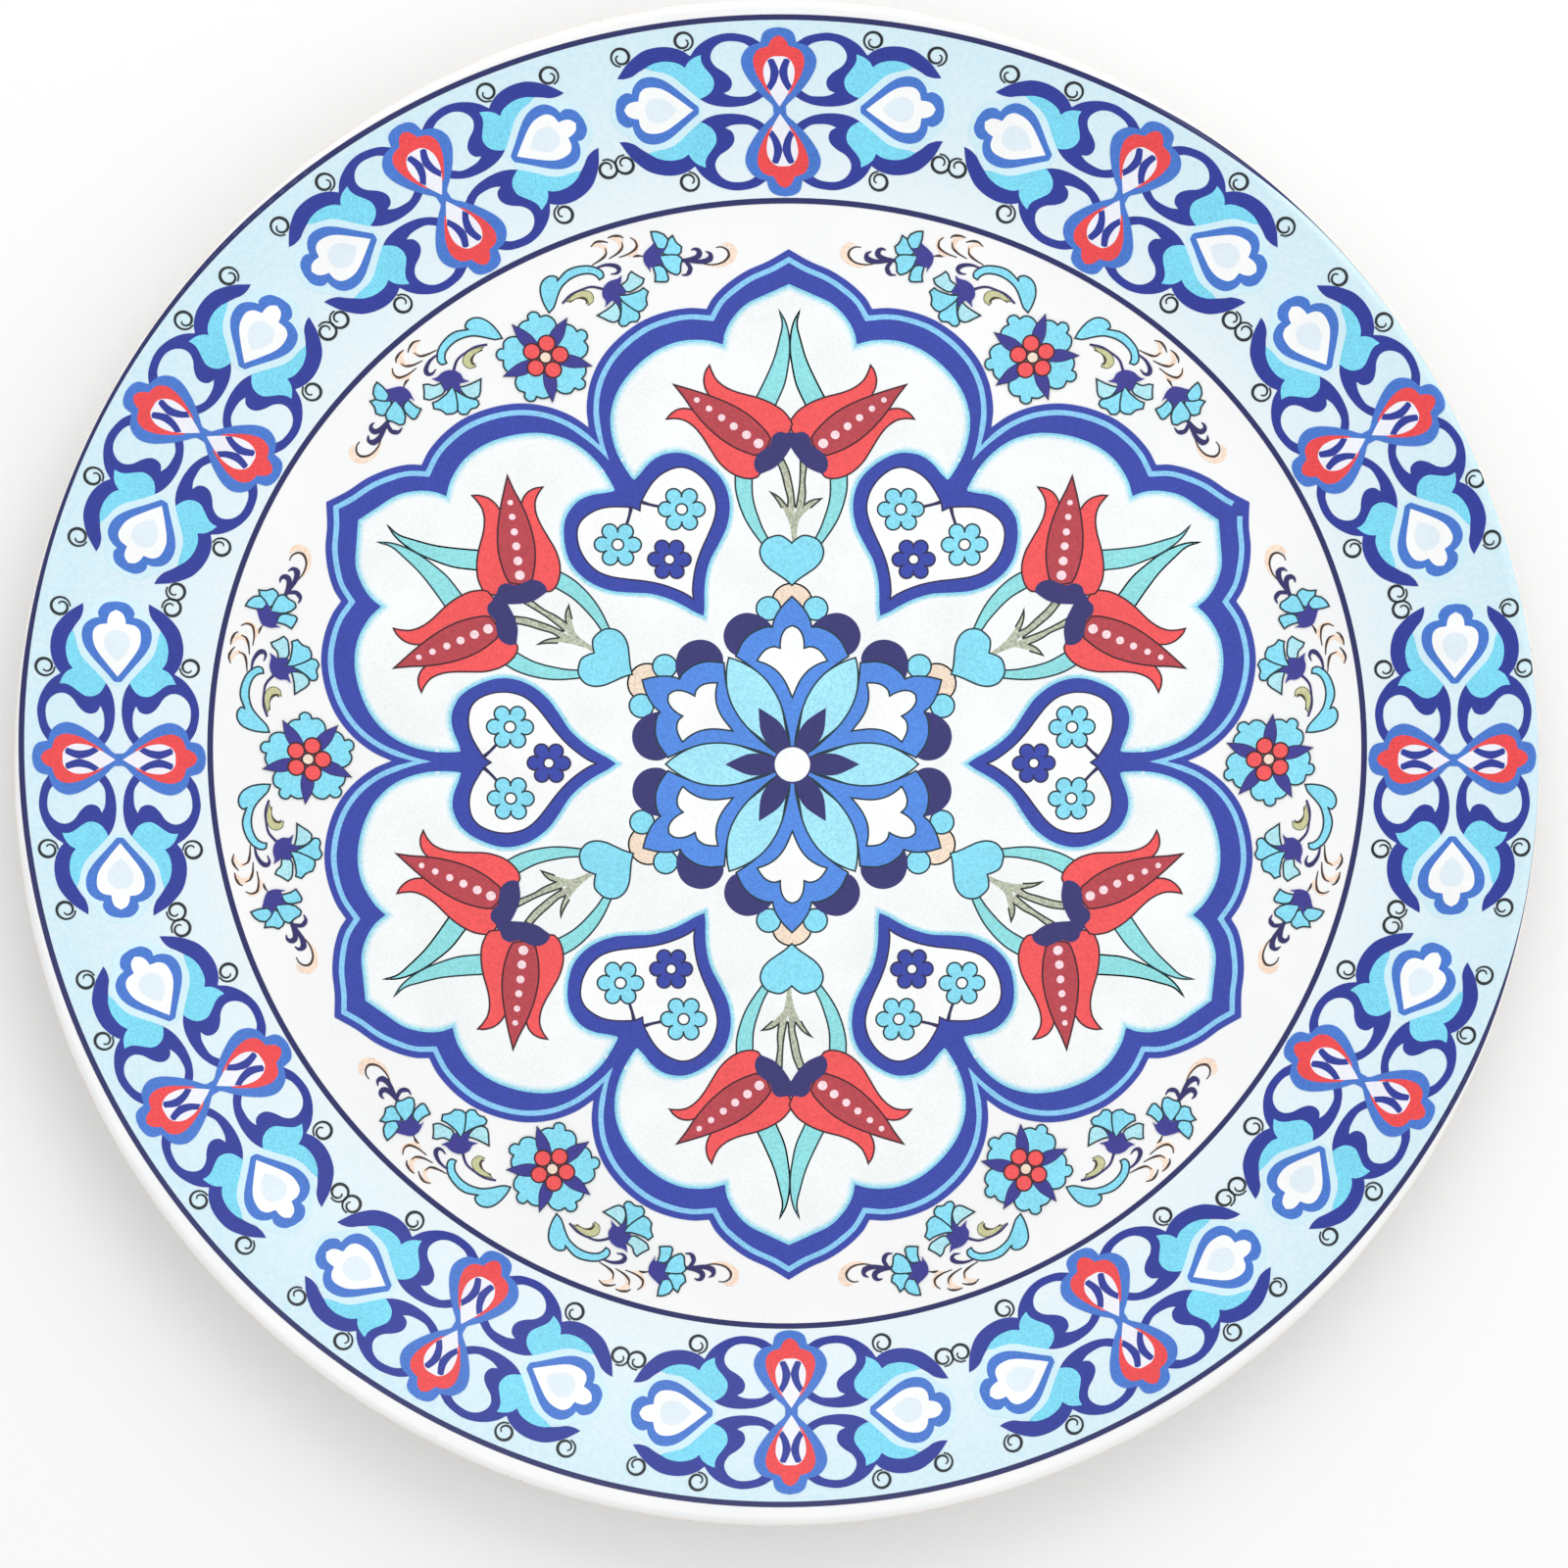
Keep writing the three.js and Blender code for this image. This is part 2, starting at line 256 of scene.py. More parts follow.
def white_glaze():
    """Opaque white glaze, fired smooth: a clean white with a soft broad gloss."""
    material, tree = new_material("white_glaze")
    where = add_node(tree, "ShaderNodeTexCoord").outputs["Object"]
    cloud = add_node(tree, "ShaderNodeTexNoise", {"Scale": 1 / (25 * MM), "Detail": 3.0}, {"Vector": where})
    tone = add_node(tree, "ShaderNodeValToRGB", links={"Fac": cloud.outputs["Fac"]})
    tone.color_ramp.elements[0].color = linear("#f4f5f6")
    tone.color_ramp.elements[0].position = 0.3
    tone.color_ramp.elements[1].color = linear("#fafafa")
    tone.color_ramp.elements[1].position = 0.7
    stretched = add_node(tree, "ShaderNodeMapping", {"Scale": (1.0, 0.04, 1.0), "Rotation": (0.0, 0.0, 0.6)},
                         {"Vector": where})
    hairs = add_node(tree, "ShaderNodeTexNoise", {"Scale": 1 / (0.5 * MM), "Detail": 1.0},
                     {"Vector": stretched.outputs["Vector"]})
    scratch = add_node(tree, "ShaderNodeMapRange", {"From Min": 0.72, "From Max": 0.8, "To Max": 0.12},
                       {"Value": hairs.outputs["Fac"]})
    colour = add_node(tree, "ShaderNodeMix", {"data_type": "RGBA"})
    tree.links.new(scratch.outputs["Result"], colour.inputs[0])
    tree.links.new(tone.outputs["Color"], colour.inputs[6])
    colour.inputs[7].default_value = linear("#b9c3cc")
    ripple = add_node(tree, "ShaderNodeTexNoise", {"Scale": 1 / (3 * MM), "Detail": 2.0}, {"Vector": where})
    skin = add_node(tree, "ShaderNodeBump", {"Strength": 0.2, "Distance": 0.05 * MM},
                    {"Height": ripple.outputs["Fac"]})
    glaze = add_node(tree, "ShaderNodeBsdfPrincipled", {"Roughness": 0.25, "IOR": 1.5},
                     {"Base Color": colour.outputs[2], "Normal": skin.outputs["Normal"]})
    add_node(tree, "ShaderNodeOutputMaterial", links={"Surface": glaze.outputs["BSDF"]})
    return material


WHITE_GLAZE = white_glaze()
GLAZE_END = 149.7  # where the glaze stops on the lip
face_under = face_line(0.0, LIP_START, LAYER_GAP) + [(r, z + LAYER_GAP) for r, z in lip[:-4:-1]]
face_over = face_line(0.0, LIP_START, LAYER_GAP + GLAZE)
face_over += [(r, face_height(r) + LAYER_GAP + GLAZE) for r in (148.5, 148.8, 149.1, 149.4, GLAZE_END)]
face_over.append((GLAZE_END + 0.06, lip[-3][1] + 0.1))
spun("face_coat", face_under + face_over[::-1], [WHITE_GLAZE], "face_glaze")

base_top = UNDERSIDE - LAYER_GAP
base_radius = FOOT_INNER - LAYER_GAP
spun("base_coat",
     [(0.0, base_top - GLAZE), (base_radius - 0.3, base_top - GLAZE), (base_radius, base_top - GLAZE - 0.25),
      (base_radius, base_top), (0.0, base_top)],
     [WHITE_GLAZE], "base_glaze")

back_line = [(FOOT_OUTER + LAYER_GAP, UNDERSIDE)] + underside_bend
back_under = [(r, z - LAYER_GAP - GLAZE) for r, z in back_line]
back_over = [(r, z - LAYER_GAP) for r, z in back_line]
spun("back_coat", back_under + back_over[::-1], [WHITE_GLAZE], "back_glaze", closed=True)

# --- Rim ground ---
# A flat wash of pale blue enamel between the two banding lines, laid as one thin even
# film and fired into the glaze. The whole design sits a little off the plate's middle.

FILM = 0.04  # thickness of the first film of enamel
FILM_STEP = 0.006  # every film on top of it adds this much
FILM_START = LAYER_GAP + GLAZE + LAYER_GAP
SQUEEZE_START = 149.25
SQUEEZE = 0.4  # the most that the design reaches past where the squeeze starts
SHIFT_X = 3.0
SHIFT_Y = -0.4


def on_plate(x, y):
    """Where a point of the flat design falls on the plate, in mm.

    The design is stretched and bowed a little, and it pulls outwards and slips round over
    the rim. At the lip it is squeezed against the edge of the glaze, where its outer line
    runs out. The coefficients are least-squares fits to measured places, then rounded."""
    px = SHIFT_X + 1.016 * x + 1e-4 * (1.8 * x * y - 0.9 * x * x - 0.7 * y * y)
    py = SHIFT_Y + 0.991 * y + 1.2e-4 * x * x
    a = math.atan2(y, x)
    share = min(max((math.hypot(x, y) - WELL_RADIUS) / 25, 0.0), 1.0)
    pull = share * (0.37 + 0.78 * math.cos(3 * a + 1.2))
    slip = share * (0.57 + 0.41 * math.cos(a + 2.5) + 0.68 * math.cos(2 * a + 2.65)
                    + 0.9 * math.cos(3 * a + 2.65))
    px += pull * math.cos(a) - slip * math.sin(a)
    py += pull * math.sin(a) + slip * math.cos(a)
    radius = math.hypot(px, py)
    if radius > SQUEEZE_START:
        squeezed = SQUEEZE_START + SQUEEZE * (1 - math.exp((SQUEEZE_START - radius) / SQUEEZE))
        px *= squeezed / radius
        py *= squeezed / radius
    return px, py


def fired(name, flat_mesh, turn, node):
    """A decal turned to its place and laid on the glaze, every film solid down to the glaze."""
    bm = bmesh.new()
    bm.from_mesh(flat_mesh)
    bmesh.ops.rotate(bm, cent=(0, 0, 0), matrix=Matrix.Rotation(turn, 3, "Z"), verts=bm.verts[:])
    film = bm.verts.layers.float.new("film")
    for vert in bm.verts:
        vert[film] = FILM + FILM_STEP * vert.co.z
        x, y = on_plate(vert.co.x, vert.co.y)
        vert.co = (x, y, face_height(math.hypot(x, y)) + FILM_START)
    grown_part = bmesh.ops.extrude_face_region(bm, geom=bm.faces[:])["geom"]
    for vert in grown_part:
        if isinstance(vert, bmesh.types.BMVert):
            vert.co.z += vert[film]
    bmesh.ops.recalc_face_normals(bm, faces=bm.faces[:])
    bmesh.ops.scale(bm, vec=(MM, MM, MM), verts=bm.verts[:])
    return finished(bm, name, list(flat_mesh.materials), node)


def rim_wash():
    """Pale blue enamel wash: stronger at the outer line, thinned almost to white inside."""
    material, tree = new_material("pale_blue_wash")
    where = add_node(tree, "ShaderNodeTexCoord").outputs["Object"]
    centred = add_node(tree, "ShaderNodeVectorMath", {"operation": "SUBTRACT"}, {0: where})
    centred.inputs[1].default_value = (SHIFT_X * MM, SHIFT_Y * MM, 0.0)
    flat = add_node(tree, "ShaderNodeVectorMath", {"operation": "MULTIPLY"}, {0: centred.outputs["Vector"]})
    flat.inputs[1].default_value = (1.0, 1.0, 0.0)
    radius = add_node(tree, "ShaderNodeVectorMath", {"operation": "LENGTH"}, {0: flat.outputs["Vector"]})
    out = add_node(tree, "ShaderNodeMapRange", {"From Min": INNER_LINE * MM, "From Max": OUTER_LINE * MM},
                   {"Value": radius.outputs["Value"]})
    tone = add_node(tree, "ShaderNodeValToRGB", links={"Fac": out.outputs["Result"]})
    tone.color_ramp.elements[0].color = linear("#e6f3f8")
    tone.color_ramp.elements[1].color = linear("#cbeaf6")
    specks = add_node(tree, "ShaderNodeTexNoise", {"Scale": 1 / (0.9 * MM), "Detail": 2.0}, {"Vector": where})
    amount = add_node(tree, "ShaderNodeMapRange", {"From Min": 0.3, "From Max": 0.7, "To Max": 0.35},
                      {"Value": specks.outputs["Fac"]})
    colour = add_node(tree, "ShaderNodeMix", {"data_type": "RGBA"})
    tree.links.new(amount.outputs["Result"], colour.inputs[0])
    tree.links.new(tone.outputs["Color"], colour.inputs[6])
    colour.inputs[7].default_value = linear("#f6fbfd")
    film = add_node(tree, "ShaderNodeBsdfPrincipled", {"Roughness": 0.3, "IOR": 1.5},
                    {"Base Color": colour.outputs[2]})
    add_node(tree, "ShaderNodeOutputMaterial", links={"Surface": film.outputs["BSDF"]})
    return material


OUTER_LINE = 147.1
INNER_LINE = 111.7
RING_POINTS = 300
RING_WIDTH = 0.5


def ring(colour, inner, outer, film):
    """One film between two circles, cut into sectors and into rings of RING_WIDTH at most."""
    widths = math.ceil((outer - inner) / RING_WIDTH)
    radii = [inner + (outer - inner) * i / widths for i in range(widths + 1)]
    bm = bmesh.new()
    verts = [bm.verts.new((r, 0, film)) for r in radii]
    edges = [bm.edges.new(ends) for ends in zip(verts, verts[1:])]
    bmesh.ops.spin(bm, geom=verts + edges, cent=(0, 0, 0), axis=(0, 0, 1), angle=2 * math.pi,
                   steps=RING_POINTS, use_merge=True)
    mesh = bpy.data.meshes.new("ring")
    bm.to_mesh(mesh)
    bm.free()
    mesh.materials.append(colour)
    return mesh


fired("rim_wash", ring(rim_wash(), INNER_LINE, OUTER_LINE, 0), 0.0, "rim_ground")

# --- Banding lines ---
# Two thin navy circles of one even width, fired over the wash: one just inside the lip and
# one on the hollow curve where the rim leaves the flat middle.

LINE_WIDTH = 1.1


def enamel(name, colour, grain=0.45, contrast=0.16):
    """A film of coloured enamel under a thin clear flux, with a soft gloss. The pigment lies in
    an uneven grain of deeper and paler specks over slow patches 12 mm wide. The grain is given
    in mm, and is coarser than real pigment so that it shows."""
    material, tree = new_material(name)
    where = add_node(tree, "ShaderNodeTexCoord").outputs["Object"]
    specks = add_node(tree, "ShaderNodeTexNoise",
                      {"Scale": 1 / (grain * MM), "Detail": 2.0, "Roughness": 0.6}, {"Vector": where})
    depth = add_node(tree, "ShaderNodeMapRange",
                     {"From Min": 0.3, "From Max": 0.7, "To Min": 1 - contrast, "To Max": 1 + contrast},
                     {"Value": specks.outputs["Fac"]})
    patches = add_node(tree, "ShaderNodeTexNoise", {"Scale": 1 / (12 * MM), "Detail": 1.0}, {"Vector": where})
    flow = add_node(tree, "ShaderNodeMapRange",
                    {"From Min": 0.3, "From Max": 0.7, "To Min": 0.97, "To Max": 1.03},
                    {"Value": patches.outputs["Fac"]})
    amount = add_node(tree, "ShaderNodeMath", {"operation": "MULTIPLY"},
                      {0: depth.outputs["Result"], 1: flow.outputs["Result"]})
    tone = add_node(tree, "ShaderNodeVectorMath", {"operation": "SCALE"}, {"Scale": amount.outputs["Value"]})
    tone.inputs[0].default_value = linear(colour)[:3]
    skin = add_node(tree, "ShaderNodeBump", {"Strength": 0.15, "Distance": 0.03 * MM},
                    {"Height": specks.outputs["Fac"]})
    film = add_node(tree, "ShaderNodeBsdfPrincipled", {"Roughness": 0.3, "IOR": 1.5},
                    {"Base Color": tone.outputs["Vector"], "Normal": skin.outputs["Normal"]})
    add_node(tree, "ShaderNodeOutputMaterial", links={"Surface": film.outputs["BSDF"]})
    return material


NAVY = enamel("navy_line_enamel", "#1c2260")
for name, radius, node in (("outer_banding", OUTER_LINE, "outer_line"),
                           ("inner_banding", INNER_LINE, "inner_line")):
    fired(name, ring(NAVY, radius - LINE_WIDTH / 2, radius + LINE_WIDTH / 2, 3), 0.0, node)

# --- Medallion ---
# A six-lobed field in the middle, a shade greyer than the glaze round it, edged by a
# cobalt band with a light blue line in it and a soft pale edging inside.

LOBES = 6
SIXTH = 2 * math.pi / LOBES


def through(points, steps=5):
    """A smooth line through the points."""
    first, last = points[0], points[-1]
    before = (2 * first[0] - points[1][0], 2 * first[1] - points[1][1])
    after = (2 * last[0] - points[-2][0], 2 * last[1] - points[-2][1])
    knots = [before, *points, after]
    line = [first]
    for a, b, c, d in zip(knots, knots[1:], knots[2:], knots[3:]):
        for i in range(1, steps + 1):
            t = i / steps
            line.append(tuple(
                (2 * q + (r - p) * t + (2 * p - 5 * q + 4 * r - s) * t * t
                 + (3 * q - p - 3 * r + s) * t ** 3) / 2
                for p, q, r, s in zip(a, b, c, d)))
    return line


def outline(*runs):
    """Smooth runs of points with a corner between runs; each starts where the last ended."""
    line = []
    for run in runs:
        points = line[-1:] + run
        line = line[:-1] + (through(points) if len(points) > 2 else points)
    if math.dist(line[0], line[-1]) < 0.01:
        line.pop()
    return line


def flipped(points, x=-1, y=1):
    """The mirror image of an outline, across x = 0 unless told otherwise."""
    return [(x * px, y * py) for px, py in points]


def both_sides(*runs):
    """A closed outline from the half that runs from the axis x = 0 back to it."""
    half = outline(*runs)
    return half + [(-x, y) for x, y in half[::-1] if abs(x) > 0.001]


def turned(points, angle):
    """An outline turned about the middle of the design."""
    c, s = math.cos(angle), math.sin(angle)
    return [(x * c - y * s, x * s + y * c) for x, y in points]


def moved(points, x, y):
    """An outline shifted sideways."""
    return [(px + x, py + y) for px, py in points]


def grown(points, distance):
    """A closed outline moved outwards all round, or inwards where distance is less than 0."""
    area = sum(points[i - 1][0] * y - x * points[i - 1][1] for i, (x, y) in enumerate(points))
    outward = distance if area > 0 else -distance
    sharpest = 0.08
    line = []
    for i, (x, y) in enumerate(points):
        x0, y0 = points[i - 1]
        x1, y1 = points[(i + 1) % len(points)]
        before = Vector((y - y0, x0 - x)).normalized()
        after = Vector((y1 - y, x - x1)).normalized()
        shift = (before + after) * outward / max(1 + before.dot(after), sharpest)
        line.append((x + shift.x, y + shift.y))
    # A side that is turned back by the move is shorter than the move; its two ends are joined.
    for _ in range(4):
        ends = list(zip(points, line, points[1:] + points[:1], line[1:] + line[:1]))
        back = [(b[0] - a[0]) * (q[0] - p[0]) + (b[1] - a[1]) * (q[1] - p[1]) <= 0 for a, p, b, q in ends]
        if not any(back):
            break
        points = [((a[0] + b[0]) / 2, (a[1] + b[1]) / 2) if turned_back else a
                  for (a, p, b, q), turned_back, after_back in zip(ends, back, back[-1:] + back[:-1])
                  if turned_back or not after_back]
        line = [((p[0] + q[0]) / 2, (p[1] + q[1]) / 2) if turned_back else p
                for (a, p, b, q), turned_back, after_back in zip(ends, back, back[-1:] + back[:-1])
                if turned_back or not after_back]
    return line


def six_lobes(*runs):
    """The whole outline from the half lobe that runs from its tip to the cusp at 30 degrees."""
    half = outline(*runs)
    lobe = flipped(half)[:0:-1] + half[:-1]
    line = []
    for i in range(LOBES):
        line += turned(lobe, -SIXTH * i)
    return line


SKIPPED = (None,)


def decal(coats, cell=None, first=0):
    """Flat films in the design's own plane, laid one over the other in the order given; the
    height of a film is its number, counted from first.

    Each film is an enamel and its outlines, which mustn't cross; one inside another is a
    hole. SKIPPED leaves a number out. cell is the side of the squares that the films are
    cut into, so that they bend over the rim."""
    bm = bmesh.new()
    colours = []
    for film, (colour, *loops) in enumerate(coats, first):
        if not loops:
            continue
        if colour not in colours:
            colours.append(colour)
        border = []
        for loop in loops:
            verts = [bm.verts.new((x, y, film)) for x, y in loop]
            border += [bm.edges.new((verts[i - 1], verts[i])) for i in range(len(verts))]
        filled = bmesh.ops.triangle_fill(bm, use_beauty=True, edges=border, normal=(0, 0, 1))
        for part in filled["geom"]:
            if isinstance(part, bmesh.types.BMFace):
                part.material_index = colours.index(colour)
    for axis in (0, 1) if cell else ():
        across = Vector((1 - axis, axis, 0))
        places = [v.co[axis] / cell for v in bm.verts]
        for step in range(math.ceil(min(places)), math.ceil(max(places))):
            bmesh.ops.bisect_plane(bm, geom=bm.verts[:] + bm.edges[:] + bm.faces[:], dist=1e-5,
                                   plane_co=across * step * cell, plane_no=across)
    mesh = bpy.data.meshes.new("decal")
    bm.to_mesh(mesh)
    bm.free()
    for colour in colours:
        mesh.materials.append(colour)
    return mesh


COBALT = enamel("cobalt_enamel", "#3143a8")
LIGHT_BLUE = enamel("light_blue_enamel", "#8accf4")
EDGING = enamel("pale_cyan_edging", "#8fd8ef")
EDGING_PALE = enamel("paler_cyan_edging", "#bfe8f5")
EDGING_FADE = enamel("faded_cyan_edging", "#e0f3f9", contrast=0.08)
FIELD_WHITE = enamel("greyed_white_enamel", "#f6f9f9", contrast=0.05)
band_outer = six_lobes(
    [(0, 102.4), (4.0, 100.0), (8.1, 98.1), (11.7, 95.6), (14.4, 92.9), (15.8, 90.5)],
    [(19.3, 90.65), (23.8, 89.8), (28.3, 87.9), (32.6, 84.6), (36.0, 80.5), (38.1, 75.8), (38.9, 71.0),
     (38.6, 66.8)])
# The band's inner edge ends beside the stem that carries a heart.
band_inner = six_lobes(
    [(0, 95.5), (4.1, 93.6), (8.1, 91.6), (10.8, 88.8), (12.3, 86.0), (12.8, 83.5)],
    [(16.2, 84.3), (20.8, 84.1), (25.3, 82.3), (29.4, 79.0), (32.6, 74.8), (34.2, 70.5), (34.4, 66.5),
     (33.5, 62.4), (31.9, 59.0), (30.1, 56.2)],
    [(31.6, 54.8)])
line_outer = six_lobes(
    [(0, 100.9), (3.4, 98.9), (7.5, 97.0), (10.9, 94.6), (13.4, 92.1), (15.1, 89.2)],
    [(19.2, 89.4), (23.4, 88.6), (27.7, 86.8), (31.7, 83.7), (34.9, 79.8), (36.9, 75.4), (37.6, 70.9),
     (37.4, 67.0), (36.5, 63.3)])
line_inner = six_lobes(
    [(0, 99.7), (2.9, 98.0), (7.0, 96.1), (10.2, 93.8), (12.6, 91.5), (14.5, 88.1)],
    [(19.1, 88.4), (23.1, 87.6), (27.1, 85.9), (31.0, 82.9), (34.0, 79.3), (35.9, 75.1), (36.6, 70.8),
     (36.3, 66.9), (35.7, 63.4), (34.8, 60.3)])
fired("medallion_field", decal([(FIELD_WHITE, grown(band_outer, -1.0))]), 0.0, "medallion_ground")
# Three numbers are left out for the edging of the hearts, which lies under the band's cobalt.
band_films = [
    (EDGING_FADE, grown(band_outer, -3.0), grown(band_inner, -1.25)),
    (EDGING_PALE, grown(band_outer, -3.0), grown(band_inner, -0.85)),
    (EDGING, grown(band_outer, -3.0), grown(band_inner, -0.45)),
    SKIPPED, SKIPPED, SKIPPED,
    (COBALT, band_outer, band_inner),
    (LIGHT_BLUE, line_outer, line_inner),
]
fired("medallion_edge", decal(band_films, first=1), 0.0, "medallion_band")

# --- Hearts ---
# Six cobalt hearts hang from the band by short stems and point at the middle. Each holds
# two sky-blue flowers and a cobalt one on the white, drawn round with a fine dark pen.

PEN = 0.17  # half the width of the dark line drawn round a colour


def drawn(colour, line, *shapes, pen=PEN):
    """Shapes that don't touch, filled with one enamel inside a thin line of another."""
    return [(line, *[grown(shape, pen) for shape in shapes]),
            (colour, *[grown(shape, -pen) for shape in shapes])]


def circle(radius, x=0.0, y=0.0, points=24, flat=1.0):
    """A closed round outline, or an oval one where flat isn't 1."""
    turns = [2 * math.pi * i / points for i in range(points)]
    return [(x + radius * math.cos(a), y + radius * flat * math.sin(a)) for a in turns]


def pair(shape):
    """A shape and its mirror image across x = 0."""
    return shape, flipped(shape)


def brush(points, start, middle, end):
    """The outline of one brush stroke along a smooth line, with its three widths."""
    line = through(points)
    left, right = [], []
    for i, (x, y) in enumerate(line):
        x0, y0 = line[max(i - 1, 0)]
        x1, y1 = line[min(i + 1, len(line) - 1)]
        side = Vector((y0 - y1, x1 - x0)).normalized()
        t = 2 * i / (len(line) - 1)
        width = start + (middle - start) * t if t < 1 else middle + (end - middle) * (t - 1)
        left.append((x + side.x * width / 2, y + side.y * width / 2))
        right.append((x - side.x * width / 2, y - side.y * width / 2))
    return left + right[::-1]


def small_flowers(centres, spread, petal, eye, colour, line):
    """Flowers of six round petals about a white eye; every second petal overlaps the next."""
    coats = []
    for first in (0, 1):
        turns = [SIXTH * i + math.pi / 2 for i in (first, first + 2, first + 4)]
        petals = [circle(petal, x + spread * math.cos(a), y + spread * math.sin(a), 18)
                  for x, y in centres for a in turns]
        coats += drawn(colour, line, *petals)
    coats.append((colour, *[circle(spread - petal * 0.4, x, y) for x, y in centres]))
    return coats + drawn(WHITE, line, *[circle(eye, x, y, 18) for x, y in centres])


WHITE = enamel("white_enamel", "#fafbfb", contrast=0.04)
SKY_BLUE = enamel("sky_blue_enamel", "#87def5")
DARK_TEAL = enamel("dark_teal_pen", "#10303c")
DARK_BLUE = enamel("dark_blue_pen", "#241f52")
heart_outer = both_sides(
    [(0, 67.5), (1.8, 67.5)], [(1.75, 65.2), (2.2, 63.9)],
    [(3.9, 64.4), (6.1, 65.25), (8.4, 65.6), (10.6, 65.2), (13.1, 63.8), (15.0, 61.3), (16.4, 58.0),
     (16.8, 55.2), (16.3, 52.4), (15.0, 49.7), (12.8, 47.1), (10.0, 45.1), (6.6, 42.9), (4.0, 40.2),
     (2.3, 37.7), (1.1, 35.6), (0, 34.1)])
heart_inner = both_sides(
    [(0, 58.1), (0.8, 59.2), (1.5, 59.8)],
    [(3.3, 60.9), (5.0, 61.75), (7.0, 62.3), (9.2, 62.3), (11.1, 61.75), (12.6, 60.4), (13.6, 58.3),
     (14.0, 56.2), (13.9, 54.0), (13.1, 51.6), (11.4, 49.5), (8.9, 47.5), (6.3, 45.6), (3.9, 43.5),
     (2.0, 41.3), (0.7, 39.4), (0, 37.9)])
heart_films = [
    (EDGING_FADE, grown(heart_outer, 1.25)),
    (EDGING_PALE, grown(heart_outer, 0.85)),
    (EDGING, grown(heart_outer, 0.45)),
    SKIPPED, SKIPPED,
    (COBALT, heart_outer),
    *drawn(WHITE, DARK_BLUE, heart_inner),
    (DARK_BLUE, *pair(brush([(1.2, 59.4), (2.2, 58.3), (3.5, 57.1)], 0.8, 0.6, 0.6))),
]
heart_films += small_flowers([(7.1, 54.4), (-7.1, 54.4)], 3.0, 1.5, 1.1, SKY_BLUE, DARK_TEAL)
heart_films += small_flowers([(0, 47.0)], 2.75, 1.4, 1.0, COBALT, DARK_BLUE)
heart = decal(heart_films, first=4)
for i in range(LOBES):
    fired(f"heart_{i + 1}", heart, -SIXTH * (i + 0.5), f"heart_cartouche_{i + 1}")

# --- Tulip sprays ---
# In each lobe two red tulips spread from one forked stem, with a pair of slim turquoise
# leaves above and a looping pair below that spring from a small sky-blue heart.

TULIP_RED = enamel("tulip_red_enamel", "#f45456")
MAROON = enamel("maroon_enamel", "#b83f4a")
TURQUOISE = enamel("turquoise_enamel", "#8fdfe3")
OLIVE_GREY = enamel("olive_grey_enamel", "#b8bda9", contrast=0.4)
INDIGO = enamel("indigo_enamel", "#302e70")
OXBLOOD = enamel("oxblood_pen", "#3f101f")
GREEN_BLACK = enamel("green_black_pen", "#242a22")
SEED_PINK = enamel("seed_pink_enamel", "#fcdde4")
upper_leaf = outline(
    [(1.9, 90.1), (1.4, 87.5), (2.0, 84.5), (3.1, 80.5), (4.8, 76.5), (6.7, 72.6)], [(6.4, 69.5)],
    [(2.9, 71.4)],
    [(1.15, 75.5), (0.35, 79.5), (0.05, 82.5), (0.2, 85.5), (0.8, 88.0), (1.9, 90.1)])
tulip = outline(
    [(-0.3, 67.6), (0.2, 68.7), (1.5, 70.3), (3.2, 71.5), (5, 72.4), (7, 73.1), (10, 73.9), (12.3, 74.9),
     (14, 76.3), (14.9, 77.9), (15.4, 79.3)],
    [(16.1, 78.2), (16.5, 76.5), (16.3, 74.9), (15.7, 73.6)], [(18.6, 70.4)],
    [(20, 70.7), (21.5, 70.5), (22.8, 69.7), (23.7, 68.6)],
    [(22, 68.7), (20.2, 68.3), (18.4, 67.0), (16.9, 65.1), (15.4, 62.6), (13.9, 60.2), (12, 58.3), (10, 57.2),
     (8, 56.8), (6.6, 57.1), (6.0, 57.8)],
    [(3, 62), (0.6, 65.5), (-0.3, 67.6)])
tulip_heart = outline(
    [(22.2, 75.4), (18.5, 74.3), (15, 73.1), (11.5, 71.6), (8.5, 69.8), (6.2, 67.8), (4.6, 66.0),
     (3.9, 64.8)],
    [(4.6, 63.0), (5.6, 61.9), (6.9, 61.4)],
    [(10, 62.6), (13, 64.4), (16, 67.1), (18.5, 70.1), (20.4, 73.0), (22.2, 75.4)])
calyx = both_sides(
    [(0, 66.0), (1.0, 65.9), (2.2, 66.1), (3.4, 65.4), (3.9, 64.0)],
    [(4.3, 63.2), (5.6, 62.3), (6.7, 61.2), (7.1, 59.8), (6.8, 58.5), (6.0, 57.7)],
    [(3.5, 58.8), (2.1, 60.0), (1.0, 61.4), (0, 63.0)])
forked_stem = outline(
    [(-0.1, 44.6), (-0.25, 46.4), (-0.65, 48.1), (-1.35, 49.9), (-2.25, 51.7), (-3.15, 53.1), (-3.85, 54.0)],
    [(-3.05, 53.6), (-2.0, 52.75), (-0.75, 51.2)], [(-0.65, 52.8), (-1.2, 55.1), (-1.8, 57.75), (-2.6, 60.0)],
    [(-1.4, 60.6)], [(-0.45, 58.3), (0.05, 56.0), (0.45, 53.5), (0.7, 50.3)],
    [(1.15, 52.4), (1.6, 55.4), (1.75, 58.1), (1.8, 60.3)], [(3.0, 59.6)],
    [(2.6, 56.5), (2.7, 54.0), (2.45, 51.5)], [(3.35, 52.2), (4.45, 52.65), (5.7, 52.8)],
    [(4.05, 51.3), (2.85, 50.1), (1.75, 48.8), (1.3, 47.0), (1.05, 44.6)], [(0.4, 43.8)], [(-0.1, 44.6)])
